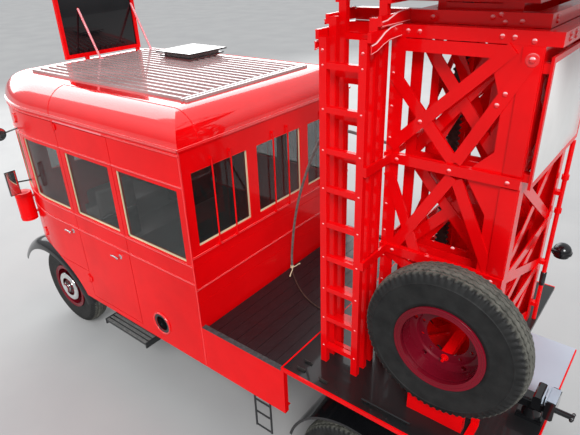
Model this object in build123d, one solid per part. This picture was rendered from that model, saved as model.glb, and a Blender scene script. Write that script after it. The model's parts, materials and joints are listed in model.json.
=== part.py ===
from build123d import *
import math
import os

# Tower wagon: a crew-cab lorry with a three-stage telescoping lattice tower on its rear deck.
# Frame: +X forward, +Y to the nearside (left), +Z up, z = 0 under the tyres, millimetres.
# The origin is midway along the length, on the centre line, at the ground.

# Driving dimensions of the chassis
WHEELBASE = 4267
FRONT_OVERHANG = 560
REAR_OVERHANG = 1225
BODY_WIDTH = 2286
WALL_TO_REAR_AXLE = 1518
TYRE_RADIUS = 515
TYRE_WIDTH = 210
RIM_RADIUS = 254
FLANGE_RADIUS = 290
FRONT_TRACK = 1640
TWIN_TRACK = 1810
TWIN_SPACING = 250
KINGPIN_Y = 735
RAIL_TOP = 850
RAIL_DEPTH = 180
RAIL_WIDTH = 65
RAIL_Y = 400
GAP = 0.4
FIT = 0.08

LENGTH = FRONT_OVERHANG + WHEELBASE + REAR_OVERHANG
X_FRONT_AXLE = LENGTH / 2 - FRONT_OVERHANG
X_REAR_AXLE = X_FRONT_AXLE - WHEELBASE
X_WALL = X_REAR_AXLE + WALL_TO_REAR_AXLE
HALF_WIDTH = BODY_WIDTH / 2

# Driving dimensions of the crew cab
CAB_LENGTH = 3070
CAB_BOTTOM = 873
CORNICE_Z = 2886
WALL = 45
FRONT_SWEEP_RADIUS = 1800
FRONT_SWEEP_ANGLE = 22.7
FRONT_CORNER_RADIUS = 350
ROOF_RISE = 250
ROOF_ROUND = 244
ROOF_SKIN = 30
CORNICE_PROUD = 12
CORNICE_HEIGHT = 20
WINDOW_BOTTOM = 1935
WINDOW_TOP = 2565
REAR_WINDOW_BOTTOM = 2063
REAR_WINDOW_TOP = 2694
DOOR_TOP = 2840
DOOR_CLEARANCE = 8
DOOR_SWING_GAP = 6
GLASS_INSET = 18
GLASS_THICKNESS = 6
FLOOR_THICKNESS = 40
REAR_FLOOR_Z = 940
FRONT_FLOOR_Z = 1345
FLOOR_STEP_X = 1750

# Door, window and opening tables, lengths along the cab from its rear wall's outer face
# name, rear edge, front edge, bottom, window rear edge, window front edge, heights of the hinges
DOORS = [
    ("middle", 902, 1714, 935, 965, 1645, (1150, 2800)),
    ("front", 1722, 2520, 1240, 1775, 2450, (1450, 2750)),
]
# rear edge, front edge of the fixed side windows
SIDE_WINDOWS = [(75, 850), (2600, 2850)]
# lowest and highest Y of the rear wall's windows
REAR_WINDOWS = [(423, 1047), (-306, 306), (-1047, -423)]
# lowest and highest Y of the windscreen's panes
WINDSCREENS = [(40, 640), (-640, -40)]

# Beads along the cab's sides and front, and across its rear wall:
# height of the lower edge, height of the bead, how far it stands out
SIDE_BEADS = [(1732, 16, 6), (1904, 18, 7), (2596, 14, 6), (2850, 12, 8)]
REAR_BEADS = [(1674, 16, 6), (1976, 20, 9)]
BEAD_PROUD = 8
# Heights of the shallow joint lines across the rear wall
REAR_JOINTS = (1550, 1897)

# Round filler recess in the nearside wall
PORT_X = 564
PORT_Z = 1095
PORT_RADIUS = 75
PORT_RING = 100
PORT_DEPTH = 90

# Wing arches: centre offset from the front axle, and radii
WING_BACK = 150
WING_DROP = 65
WING_INNER_RADIUS = 840
WING_OUTER_RADIUS = 720
WING_SKIN = 8
WING_SEAT = 0.8
WING_INNER_Y = 520
WING_CROWN_Y = 1000
WING_FRONT_ANGLE = 36
WING_REAR_ANGLE = 158
REAR_WING_RADIUS = 610
REAR_WING_INNER_Y = 660

# Driving dimensions of the deck
DECK_TOP = 1343
DECK_THICKNESS = 35
PLANK_TOP = 1300
PLANK_THICKNESS = 30
PLANK_LENGTH = 872
VALANCE_LENGTH = 897
VALANCE_TOP = 1308
DECK_REAR = 2600
STEP_WELL_LENGTH = 350
STEP_WELL_Y = -350
WALL_GAP = 30
TAIL_PLATE_FRONT = 2222
TAIL_PLATE_REAR = 2590
BEARER_DEPTH = 90
BEARER_WIDTH = 60

# Driving dimensions of the tower
TOWER_FRONT = 1350
TOWER_REAR = 2190
TOWER_HALF_WIDTH = 555
TOWER_TOP = 3687
RIM_HEIGHT = 71
RIM_WIDTH = 78
RIM_TAIL = 76
STAGE_INSET = 92
SKIN = 10
CROSSBAR_PROUD = 12
ARM_GAP = 7
ARM_THICK = 16
ARM_RAISE = 10
LADDER_FRONT = 1069
LADDER_REAR = 1383
LADDER_Y = 871
LADDER_PITCH_Y = 101
STILE_WIDTH = 50
STILE_DEPTH = 40
RUNG_SIZE = 36
RUNG_PITCH = 257
FIRST_RUNG = 1500
PLATFORM_LENGTH = 1900
PLATFORM_WIDTH = 1440
PLATFORM_BOTTOM = 3950
PLATFORM_THICKNESS = 45
RAIL_HEIGHT = 950
RAIL_RADIUS = 17


def box(x0, x1, y0, y1, z0, z1):
    """A block between two corners."""
    centre = Pos((x0 + x1) / 2, (y0 + y1) / 2, (z0 + z1) / 2)
    return centre * Box(abs(x1 - x0), abs(y1 - y0), abs(z1 - z0))


def rod(start, end, radius):
    """A round bar from one point to another."""
    a = Vector(*start)
    b = Vector(*end)
    plane = Plane(origin=a, z_dir=b - a)
    return extrude(plane * Circle(radius), (b - a).length)


def mirror_y(shape):
    """The same piece on the other side of the lorry."""
    return mirror(shape, about=Plane.XZ)


def solids_of(shape):
    """All solids of a piece or of a list of pieces."""
    if isinstance(shape, (list, tuple)):
        return [solid for item in shape for solid in solids_of(item)]
    return list(shape.solids())


NODES = {}


def node(name, shape):
    """Keeps a sub-component under its name, as one or more separate solids."""
    NODES[name] = Compound(children=solids_of(shape))


def both_sides(name, shape):
    """Keeps a left piece and its mirror image under two names."""
    node(name + "_left", shape)
    node(name + "_right", mirror_y(shape))


def pair(shape):
    """A left piece and its mirror image in one list."""
    return [shape, mirror_y(shape)]


# Cab plan, used for walls, glass, roof and cornice
def cab_plan(inset):
    half = HALF_WIDTH - inset
    sweep_r = FRONT_SWEEP_RADIUS - inset
    corner_r = FRONT_CORNER_RADIUS - inset
    s = math.sin(math.radians(FRONT_SWEEP_ANGLE))
    c = math.cos(math.radians(FRONT_SWEEP_ANGLE))
    sweep_x = X_WALL + CAB_LENGTH - FRONT_SWEEP_RADIUS * s - FRONT_CORNER_RADIUS * (1 - s)
    sweep_y = HALF_WIDTH - FRONT_SWEEP_RADIUS
    corner_x = sweep_x + (FRONT_SWEEP_RADIUS - FRONT_CORNER_RADIUS) * s
    corner_y = sweep_y + (FRONT_SWEEP_RADIUS - FRONT_CORNER_RADIUS) * c
    rear_x = X_WALL + inset
    turn = 90 - FRONT_SWEEP_ANGLE
    edges = [
        Line((rear_x, -half), (sweep_x, -half)),
        CenterArc((sweep_x, -sweep_y), sweep_r, -90, FRONT_SWEEP_ANGLE),
        CenterArc((corner_x, -corner_y), corner_r, -turn, turn),
        Line((corner_x + corner_r, -corner_y), (corner_x + corner_r, corner_y)),
        CenterArc((corner_x, corner_y), corner_r, 0, turn),
        CenterArc((sweep_x, sweep_y), sweep_r, turn, FRONT_SWEEP_ANGLE),
        Line((sweep_x, half), (rear_x, half)),
        Line((rear_x, half), (rear_x, -half)),
    ]
    return make_face(edges)


def hinge_line(distance):
    """Y of a door's hinge axis: on the outer face of the beads, at a distance from the rear wall."""
    s = math.sin(math.radians(FRONT_SWEEP_ANGLE))
    sweep_start = CAB_LENGTH - FRONT_SWEEP_RADIUS * s - FRONT_CORNER_RADIUS * (1 - s)
    past = max(0, distance - sweep_start)
    radius = FRONT_SWEEP_RADIUS + BEAD_PROUD
    return HALF_WIDTH - FRONT_SWEEP_RADIUS + math.sqrt(radius ** 2 - past ** 2)


def cab_prism(inset, z0, z1):
    return Pos(0, 0, z0) * extrude(cab_plan(inset), z1 - z0)


def cab_shell(outer, inner, z0, z1):
    return cab_prism(outer, z0, z1) - cab_prism(inner, z0, z1)


WING_X = X_FRONT_AXLE - WING_BACK
WING_Z = TYRE_RADIUS - WING_DROP


def wing_arch(radius):
    """Two cylinders outside the wings' inner edges, about the front wings' centre line."""
    width = HALF_WIDTH + 200 - WING_INNER_Y
    left = Pos(WING_X, WING_INNER_Y + width / 2, WING_Z) * Rot(90, 0, 0) * Cylinder(radius, width)
    return left + mirror_y(left)


# Cab walls
cab_front_x = X_WALL + CAB_LENGTH
front_post_x = X_WALL + DOORS[1][2] + DOOR_CLEARANCE
walls = cab_shell(0, WALL, CAB_BOTTOM, CORNICE_Z)
side_beads = [cab_shell(-proud, 1, z, z + height) & box(X_WALL, cab_front_x + proud, -HALF_WIDTH - proud,
                                                        HALF_WIDTH + proud, z, z + height)
              for z, height, proud in SIDE_BEADS]
for bead in side_beads:
    walls += bead
for z, height, proud in REAR_BEADS:
    walls += box(X_WALL - proud, X_WALL + 1, -HALF_WIDTH, HALF_WIDTH, z, z + height)
for z in REAR_JOINTS:
    walls -= box(X_WALL - 1, X_WALL + 3, -HALF_WIDTH - 1, HALF_WIDTH + 1, z - 2, z + 2)
walls -= wing_arch(WING_INNER_RADIUS + WING_SEAT)


def side_box(x0, x1, z0, z1):
    """A cutter through both side walls, between two distances from the rear wall."""
    return box(X_WALL + x0, X_WALL + x1, -HALF_WIDTH - 50, HALF_WIDTH + 50, z0, z1)


def rear_box(y0, y1, z0, z1):
    return box(X_WALL - 50, X_WALL + WALL + 50, y0, y1, z0, z1)


def front_box(y0, y1, z0, z1):
    return box(cab_front_x - WALL - 60, cab_front_x + 50, y0, y1, z0, z1)


side_window_boxes = [side_box(a, b, WINDOW_BOTTOM, WINDOW_TOP) for a, b in SIDE_WINDOWS]
rear_window_boxes = [rear_box(a, b, REAR_WINDOW_BOTTOM, REAR_WINDOW_TOP) for a, b in REAR_WINDOWS]
screen_boxes = [front_box(a, b, WINDOW_BOTTOM, WINDOW_TOP) for a, b in WINDSCREENS]
for cutter in side_window_boxes + rear_window_boxes + screen_boxes:
    walls -= cutter

door_boxes = {}
for name, rear, front, bottom, win_rear, win_front, hinge_heights in DOORS:
    front_gap = DOOR_CLEARANCE / 2 if name == "middle" else DOOR_CLEARANCE
    door_boxes[name] = side_box(rear, front, bottom, DOOR_TOP)
    opening = side_box(rear - DOOR_CLEARANCE, front + front_gap,
                       bottom - DOOR_SWING_GAP, DOOR_TOP + DOOR_SWING_GAP)
    walls -= opening

slice_half = HALF_WIDTH + 2 * BEAD_PROUD
rear_slice = box(X_WALL - 2 * BEAD_PROUD, X_WALL + WALL, -slice_half, slice_half, 0, CORNICE_Z)
front_slice = box(front_post_x + 30, cab_front_x + 2 * BEAD_PROUD, -slice_half, slice_half, 0, CORNICE_Z)
side_slice = box(X_WALL + WALL, front_post_x + 30, 0, slice_half, 0, CORNICE_Z)

# Rear wall with its upright guard rods
GUARD_RADIUS = 7
GUARD_STAND_OFF = 16
GUARD_OVERLAP = 75
rear_wall = walls & rear_slice
guards = []
for y0, y1 in REAR_WINDOWS:
    for share in (1 / 3, 2 / 3):
        y = y0 + (y1 - y0) * share
        x = X_WALL - GUARD_STAND_OFF
        low = REAR_WINDOW_BOTTOM - GUARD_OVERLAP
        high = REAR_WINDOW_TOP + GUARD_OVERLAP
        guards.append(rod((x, y, low), (x, y, high), GUARD_RADIUS))
        for z in (low + 12, high - 12):
            guards.append(box(x - 6, X_WALL + 1, y - 9, y + 9, z - 9, z + 9))
for bar in guards:
    rear_wall += bar
node("cab_rear_wall", rear_wall)

# Side walls with the pillar behind the meeting doors, and the fixed half of each door hinge
HINGE_RADIUS = 5.5
HINGE_HALF = 32
HINGE_PLATE = 30
PIN_RADIUS = 3
LUG_RADIUS = 5
LUG_HEIGHT = 10
LUG_GAP = 6
PILLAR = 56
PILLAR_GAP = 7
pillar_x = X_WALL + DOORS[0][2]
left_side = walls & side_slice
pillar_out = HALF_WIDTH - WALL - PILLAR_GAP
pillar = box(pillar_x - PILLAR / 2, pillar_x + PILLAR / 2, pillar_out - PILLAR, pillar_out,
             REAR_FLOOR_Z + GAP, CORNICE_Z)
pillar_head = box(pillar_x - PILLAR / 2, pillar_x + PILLAR / 2, pillar_out - PILLAR,
                  HALF_WIDTH - WALL + 1, DOOR_TOP + DOOR_SWING_GAP, CORNICE_Z)
left_side += pillar + pillar_head
for name, rear, front, bottom, win_rear, win_front, hinge_heights in DOORS:
    hinge_y = hinge_line(front)
    for z in hinge_heights:
        reach = HINGE_HALF + LUG_GAP
        hung = name == "middle" and z == hinge_heights[1]
        pin_foot = z - HINGE_HALF - 1 if hung else z - reach - LUG_HEIGHT
        pin_head = DOOR_TOP + LUG_GAP + 5 if hung else z + reach + LUG_HEIGHT
        left_side += Pos(X_WALL + front, hinge_y, (pin_foot + pin_head) / 2) * Cylinder(
            PIN_RADIUS, pin_head - pin_foot)
        if hung:
            lug_low = DOOR_TOP + LUG_GAP + 2
            left_side += Pos(X_WALL + front, hinge_y, lug_low + LUG_HEIGHT / 2) * Cylinder(
                LUG_RADIUS, LUG_HEIGHT)
            left_side += box(X_WALL + front - LUG_RADIUS, X_WALL + front + LUG_RADIUS,
                             hinge_y - BEAD_PROUD - 2, hinge_y, lug_low, lug_low + LUG_HEIGHT)
            continue
        for lug_low in (z + reach, z - reach - LUG_HEIGHT):
            left_side += Pos(X_WALL + front, hinge_y, lug_low + LUG_HEIGHT / 2) * Cylinder(
                LUG_RADIUS, LUG_HEIGHT)
            left_side += box(X_WALL + front, X_WALL + front + HINGE_PLATE, hinge_y - LUG_RADIUS + 1,
                             hinge_y + LUG_RADIUS - 1, lug_low, lug_low + LUG_HEIGHT)
            left_side += box(X_WALL + front + DOOR_CLEARANCE + 2, X_WALL + front + HINGE_PLATE,
                             hinge_y - BEAD_PROUD - 8, hinge_y, lug_low, lug_low + LUG_HEIGHT)
node("cab_side_right", mirror_y(left_side))


def port_disc(radius, y0, y1):
    """A disc across the nearside wall, on the filler recess's axis."""
    return Pos(X_WALL + PORT_X, (y0 + y1) / 2, PORT_Z) * Rot(90, 0, 0) * Cylinder(radius, y1 - y0)


cup_back = HALF_WIDTH - PORT_DEPTH
left_side += port_disc(PORT_RADIUS + 8, cup_back, HALF_WIDTH - 1)
left_side += port_disc(PORT_RING, HALF_WIDTH - 1, HALF_WIDTH + 6)
left_side -= port_disc(PORT_RADIUS, cup_back + 8, HALF_WIDTH + 10)
left_side += port_disc(44, cup_back + 7, cup_back + 40)
node("cab_side_left", left_side)
node("cab_front", walls & front_slice)

# Doors, hinged on their front edges
for name, rear, front, bottom, win_rear, win_front, hinge_heights in DOORS:
    leaf = cab_shell(0, WALL, bottom, DOOR_TOP)
    for bead in side_beads[:3]:
        leaf += bead
    leaf &= door_boxes[name]
    leaf -= wing_arch(WING_INNER_RADIUS + DOOR_SWING_GAP)
    window = side_box(win_rear, win_front, WINDOW_BOTTOM, WINDOW_TOP)
    leaf -= window
    left_half = box(X_WALL, cab_front_x, 0, slice_half, 0, CORNICE_Z)
    leaf &= left_half
    hinge_y = hinge_line(front)
    for z in hinge_heights:
        leaf += Pos(X_WALL + front, hinge_y, z) * Cylinder(HINGE_RADIUS, 2 * HINGE_HALF)
        leaf += box(X_WALL + front - HINGE_PLATE, X_WALL + front, hinge_y - 12, hinge_y + 2,
                    z - HINGE_HALF + 6, z + HINGE_HALF - 6)
        leaf -= Pos(X_WALL + front, hinge_y, z) * Cylinder(PIN_RADIUS + FIT, 2 * HINGE_HALF + 4)
    both_sides(name + "_door", leaf)
    pane = cab_shell(GLASS_INSET, GLASS_INSET + GLASS_THICKNESS, WINDOW_BOTTOM, WINDOW_TOP)
    both_sides(name + "_door_glass", pane & window & left_half)

pane_shell = cab_shell(GLASS_INSET, GLASS_INSET + GLASS_THICKNESS, WINDOW_BOTTOM, REAR_WINDOW_TOP)
panes = []
for cutter in side_window_boxes + rear_window_boxes + screen_boxes:
    panes.append(pane_shell & cutter)
node("cab_glass", panes)


# Roof, a hollow dome with rounded edges over the cab plan
def roof_block(inset, height, radius):
    block = cab_prism(inset, CORNICE_Z, CORNICE_Z + height)
    top_edges = block.edges().group_by(Axis.Z)[-1]
    return fillet(top_edges, radius)


roof = roof_block(0, ROOF_RISE, ROOF_ROUND)
roof -= roof_block(ROOF_SKIN, ROOF_RISE - ROOF_SKIN, ROOF_ROUND - ROOF_SKIN)
roof += cab_shell(-CORNICE_PROUD, 1, CORNICE_Z, CORNICE_Z + CORNICE_HEIGHT)
node("cab_roof", roof)
ROOF_TOP = CORNICE_Z + ROOF_RISE

# Roof slats and the flat vent
SLAT_COUNT = 18
SLAT_WIDTH = 26
SLAT_HEIGHT = 22
SLAT_FRONT = 2640
SLAT_REAR = 350
SLAT_SPREAD = 1500
CROSS_SLATS = (255, 305)
VENT_FRONT = 1970
VENT_REAR = 1430
VENT_Y = (-860, -320)
VENT_Z = 62
slats = []
for i in range(SLAT_COUNT):
    y = -SLAT_SPREAD / 2 + SLAT_SPREAD * i / (SLAT_COUNT - 1)
    slats.append(box(X_WALL + SLAT_REAR, X_WALL + SLAT_FRONT, y - SLAT_WIDTH / 2,
                     y + SLAT_WIDTH / 2, ROOF_TOP, ROOF_TOP + SLAT_HEIGHT))
for x in CROSS_SLATS:
    slats.append(box(X_WALL + x, X_WALL + x + 28, -SLAT_SPREAD / 2 - 30, SLAT_SPREAD / 2 + 30,
                     ROOF_TOP, ROOF_TOP + SLAT_HEIGHT))
vent_base = ROOF_TOP + SLAT_HEIGHT + GAP
vent = box(X_WALL + VENT_REAR + 60, X_WALL + VENT_FRONT - 60, VENT_Y[0] + 60, VENT_Y[1] - 60,
           vent_base, vent_base + VENT_Z)
vent += box(X_WALL + VENT_REAR + 25, X_WALL + VENT_FRONT - 25, VENT_Y[0] + 25, VENT_Y[1] - 25,
            vent_base + 20, vent_base + 32)
vent += box(X_WALL + VENT_REAR, X_WALL + VENT_FRONT, VENT_Y[0], VENT_Y[1],
            vent_base + VENT_Z, vent_base + VENT_Z + 14)
node("roof_fittings", slats + [vent])

# Upright boards across the lorry
def framed_panel(x0, x1, panel_x, y_range, z_range, frame):
    """Four frame bars and the panel between them, as separate pieces."""
    y0, y1 = y_range
    z0, z1 = z_range
    low = z0 + frame + GAP
    high = z1 - frame - GAP
    return [box(x0, x1, y0, y1, z0, z0 + frame), box(x0, x1, y0, y1, z1 - frame, z1),
            box(x0, x1, y0, y0 + frame, low, high), box(x0, x1, y1 - frame, y1, low, high),
            box(panel_x, x1, y0 + frame + GAP, y1 - frame - GAP, low, high)]


# Roof board with its frame, two feet and two raking stays
BOARD_X = 2815
BOARD_Y = (-745, 265)
BOARD_HEIGHT = 760
BOARD_FRAME = 42
BOARD_DEPTH = 36
BOARD_PANEL = 24
STAY_FOOT_X = 2560
# Y of each stay, and how deep it reaches into the board from behind
STAYS = [(-706, 0), (0, BOARD_PANEL)]
STAY_RISE = 560
STAY_RADIUS = 11
STAY_PLATE = 10
board_x = X_WALL + BOARD_X
board = framed_panel(board_x, board_x + BOARD_DEPTH, board_x + BOARD_PANEL, BOARD_Y,
                     (ROOF_TOP + 20, ROOF_TOP + BOARD_HEIGHT), BOARD_FRAME)
roof_solid = roof_block(0, ROOF_RISE, ROOF_ROUND)
for y, reach in STAYS:
    foot = box(board_x, board_x + BOARD_DEPTH, y - 20, y + 20, ROOF_TOP - 120, ROOF_TOP + 20 - GAP)
    board.append(foot - roof_solid)
    plate_x = X_WALL + STAY_FOOT_X
    stay = rod((plate_x, y, ROOF_TOP + 6), (board_x + BOARD_DEPTH, y, ROOF_TOP + STAY_RISE), STAY_RADIUS)
    stay -= box(plate_x - 50, plate_x + 50, y - 30, y + 30, ROOF_TOP - 30, ROOF_TOP + STAY_PLATE + GAP)
    stay -= box(board_x + reach - GAP, board_x + 100, y - 30, y + 30, ROOF_TOP, ROOF_TOP + BOARD_HEIGHT)
    board.append(stay)
    board.append(box(plate_x - 35, plate_x + 25, y - 18, y + 18, ROOF_TOP, ROOF_TOP + STAY_PLATE))
node("roof_board", board)

# Cab floor: low at the rear, high over the front wheels, with the engine's cover
inner_half = HALF_WIDTH - WALL - GAP
COVER_HALF = 300
COVER_TOP = 1560
COVER_FRONT = 2985
COVER_REAR = 2120
floor_step = X_WALL + FLOOR_STEP_X
floor = cab_prism(WALL + GAP, REAR_FLOOR_Z - FLOOR_THICKNESS, REAR_FLOOR_Z)
floor &= box(X_WALL, floor_step, -inner_half, inner_half, 0, REAR_FLOOR_Z)
front_floor = cab_prism(WALL + GAP, FRONT_FLOOR_Z - FLOOR_THICKNESS, FRONT_FLOOR_Z)
front_floor &= box(floor_step - FLOOR_THICKNESS, cab_front_x, -inner_half, inner_half,
                   0, FRONT_FLOOR_Z)
pillar_notch = box(pillar_x - PILLAR, pillar_x + PILLAR, pillar_out - PILLAR - 6,
                   HALF_WIDTH, REAR_FLOOR_Z, CORNICE_Z)
riser = box(floor_step - FLOOR_THICKNESS, floor_step, -inner_half, inner_half,
            REAR_FLOOR_Z - FLOOR_THICKNESS, FRONT_FLOOR_Z)
floor += (front_floor + riser) - pillar_notch - mirror_y(pillar_notch)
cover = box(X_WALL + COVER_REAR, X_WALL + COVER_FRONT, -COVER_HALF, COVER_HALF,
            FRONT_FLOOR_Z - 1, COVER_TOP)
cover = fillet(cover.edges().group_by(Axis.Z)[-1], 70)
floor += cover
for y in (RAIL_Y - RAIL_WIDTH / 2, -RAIL_Y + RAIL_WIDTH / 2):
    floor += box(X_WALL + 60, floor_step - 10, y - 30, y + 30, RAIL_TOP + GAP,
                 REAR_FLOOR_Z - FLOOR_THICKNESS + 1)
for name, rear, front, *rest in DOORS:
    floor -= cab_shell(-BEAD_PROUD, WALL + DOOR_SWING_GAP, REAR_FLOOR_Z - 2 * FLOOR_THICKNESS,
                       FRONT_FLOOR_Z + FLOOR_THICKNESS) & side_box(
        rear - DOOR_CLEARANCE, front + DOOR_CLEARANCE, 0, DOOR_TOP)
node("cab_floor", floor)

# Engine, one block under the front floor, and the radiator ahead of it
ENGINE = (2160, 2820)
ENGINE_HALF = 290
ENGINE_BOTTOM = 600
MOUNT_TOP = RAIL_TOP - 15
RADIATOR = (CAB_LENGTH + GAP, CAB_LENGTH + 115)
RADIATOR_HALF = 300
RADIATOR_Z = (640, 1480)
engine = box(X_WALL + ENGINE[0], X_WALL + ENGINE[1], -ENGINE_HALF, ENGINE_HALF,
             ENGINE_BOTTOM, FRONT_FLOOR_Z - FLOOR_THICKNESS - GAP)
engine += box(X_WALL + ENGINE[0] - 70, X_WALL + ENGINE[1] + 70, -60, 60, MOUNT_TOP + GAP, MOUNT_TOP + 40)
node("engine_block", engine)
radiator = box(X_WALL + RADIATOR[0], X_WALL + RADIATOR[1], -RADIATOR_HALF, RADIATOR_HALF,
               RADIATOR_Z[0], RADIATOR_Z[1])
radiator = fillet(radiator.edges().filter_by(Axis.X), 60)
radiator = fillet(radiator.faces().sort_by(Axis.X)[-1].edges(), 22)
core_cut = box(X_WALL + RADIATOR[1] - 22, X_WALL + RADIATOR[1] + 5, -RADIATOR_HALF + 62,
               RADIATOR_HALF - 62, RADIATOR_Z[0] + 70, RADIATOR_Z[1] - 150)
radiator -= core_cut
FIN_COUNT = 22
for i in range(FIN_COUNT):
    y = -RADIATOR_HALF + 62 + (2 * RADIATOR_HALF - 124) * (i + 0.5) / FIN_COUNT
    radiator += box(X_WALL + RADIATOR[1] - 23, X_WALL + RADIATOR[1] - 4, y - 4, y + 4,
                    RADIATOR_Z[0] + 69, RADIATOR_Z[1] - 149)
radiator += Pos(X_WALL + (RADIATOR[0] + RADIATOR[1]) / 2, 0, RADIATOR_Z[1]) * Cylinder(45, 50)
node("radiator", radiator)

# Chassis frame: two channel rails with drooping front ends, tied by cross-members
front_tip = X_FRONT_AXLE + FRONT_OVERHANG
rail_rear = X_WALL - DECK_REAR + 20
rail_bottom = RAIL_TOP - RAIL_DEPTH
TIP_DROP = 20
TIP_DEPTH = 70
TIP_LENGTH = 200
WEB = 12
CROSS_X = (-2480, -1900, -1120, -300, 700, 1500, 2110, 2870)
rail_profile = make_face(Polyline(
    (rail_rear, rail_bottom + 60), (rail_rear + 200, rail_bottom), (front_tip - 700, rail_bottom),
    (front_tip - TIP_LENGTH, rail_bottom - TIP_DROP), (front_tip, rail_bottom - TIP_DROP),
    (front_tip, rail_bottom - TIP_DROP + TIP_DEPTH), (front_tip - 260, rail_bottom + 100),
    (front_tip - 620, RAIL_TOP), (rail_rear, RAIL_TOP), close=True))
rail = Pos(0, RAIL_Y, 0) * extrude(Plane.XZ * rail_profile, RAIL_WIDTH)
channel = box(rail_rear + 60, front_tip - 760, RAIL_Y - RAIL_WIDTH - 1, RAIL_Y - WEB,
              rail_bottom + 74, RAIL_TOP - WEB)
rail -= channel
cross_half = RAIL_Y - RAIL_WIDTH - GAP
frame = pair(rail)
for x in CROSS_X:
    frame.append(box(X_WALL + x - 40, X_WALL + x + 40, -cross_half, cross_half,
                     rail_bottom + 30, MOUNT_TOP))
node("chassis_frame", frame)

# Deck bearers: cross beams on pedestals that stand on the rails
# distance behind the cab wall, top of the beam
plank_under = PLANK_TOP - PLANK_THICKNESS
deck_under = DECK_TOP - DECK_THICKNESS
BEARERS = [(95, plank_under), (500, plank_under), (930, deck_under), (1390, deck_under),
           (1650, deck_under), (2150, deck_under), (2540, deck_under)]
BEARER_HALF = 1040
bearers = []
for back, top in BEARERS:
    x = X_WALL - back
    y_low = STEP_WELL_Y if back > DECK_REAR - STEP_WELL_LENGTH else -BEARER_HALF
    bearers.append(box(x - BEARER_WIDTH / 2, x + BEARER_WIDTH / 2, y_low, BEARER_HALF,
                       top - BEARER_DEPTH, top - GAP))
    for y in (RAIL_Y - RAIL_WIDTH / 2, -RAIL_Y + RAIL_WIDTH / 2):
        if y > y_low:
            bearers.append(box(x - BEARER_WIDTH / 2, x + BEARER_WIDTH / 2, y - RAIL_WIDTH / 2,
                               y + RAIL_WIDTH / 2, RAIL_TOP + GAP, top - BEARER_DEPTH - GAP))
node("deck_bearers", bearers)

# Leaf springs and axles
SPRING_HALF = 520
SPRING_DEPTH = 62
SPRING_WIDTH = 60


def spring(x, seat_z, eye_z, y, front_drop=0):
    """A leaf pack arched from its eyes at the rail down to its seat on the axle."""
    outer = ThreePointArc((x - SPRING_HALF, eye_z), (x, seat_z), (x + SPRING_HALF, eye_z))
    thick = SPRING_DEPTH
    pack = make_face([
        outer,
        Line((x + SPRING_HALF, eye_z), (x + SPRING_HALF, eye_z + 22)),
        ThreePointArc((x + SPRING_HALF, eye_z + 22), (x, seat_z + thick), (x - SPRING_HALF, eye_z + 22)),
        Line((x - SPRING_HALF, eye_z + 22), (x - SPRING_HALF, eye_z)),
    ])
    body = Pos(0, y + SPRING_WIDTH / 2, 0) * extrude(Plane.XZ * pack, SPRING_WIDTH)
    for end in (-1, 1):
        eye = Pos(x + end * SPRING_HALF, y, eye_z + 11) * Rot(90, 0, 0) * Cylinder(26, SPRING_WIDTH)
        body += eye
        body += box(x + end * SPRING_HALF - 20, x + end * SPRING_HALF + 20, y - 30, y + 30,
                    eye_z + 12, rail_bottom - GAP - (front_drop if end > 0 else 0))
    return body


KNUCKLE_HEIGHT = 190
EYE_HEIGHT = 84
AXLE_DROP = 70
KINGPIN_RADIUS = 16
EYE_RADIUS = 42
axle_z = TYRE_RADIUS
beam_top = axle_z - AXLE_DROP + 60
front_axle = box(X_FRONT_AXLE - 35, X_FRONT_AXLE + 35, -520, 520, axle_z - AXLE_DROP - 25, beam_top - 40)
for side in (1, -1):
    front_axle += box(X_FRONT_AXLE - 30, X_FRONT_AXLE + 30, min(side * 500, side * KINGPIN_Y),
                      max(side * 500, side * KINGPIN_Y), axle_z - 38, axle_z + 30)
    front_axle += box(X_FRONT_AXLE - 30, X_FRONT_AXLE + 30, min(side * 480, side * 540),
                      max(side * 480, side * 540), axle_z - AXLE_DROP - 25, axle_z + 30)
    front_axle += Pos(X_FRONT_AXLE, side * KINGPIN_Y, axle_z) * Cylinder(EYE_RADIUS, EYE_HEIGHT)
front_spring_y = RAIL_Y - RAIL_WIDTH / 2
front_seat = beam_top - 41
for y in (front_spring_y, -front_spring_y):
    front_axle += spring(X_FRONT_AXLE, front_seat, rail_bottom - 116, y, TIP_DROP)
for side in (1, -1):
    front_axle -= Pos(X_FRONT_AXLE, side * KINGPIN_Y, axle_z) * Cylinder(
        KINGPIN_RADIUS + FIT, KNUCKLE_HEIGHT + 40)
node("front_axle", front_axle)

STUB_RADIUS = 40
FRONT_STUB = 32
rear_axle = Pos(X_REAR_AXLE, 0, axle_z) * Rot(90, 0, 0) * Cylinder(62, 1290)
rear_axle += Pos(X_REAR_AXLE, 0, axle_z) * Rot(90, 0, 0) * Cylinder(165, 210)
rear_axle += Pos(X_REAR_AXLE, 0, axle_z) * Rot(90, 0, 0) * Cylinder(STUB_RADIUS, 2060)
for y in (front_spring_y, -front_spring_y):
    rear_axle += spring(X_REAR_AXLE, axle_z + 52, rail_bottom - 70, y)
node("rear_axle", rear_axle)

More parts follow.
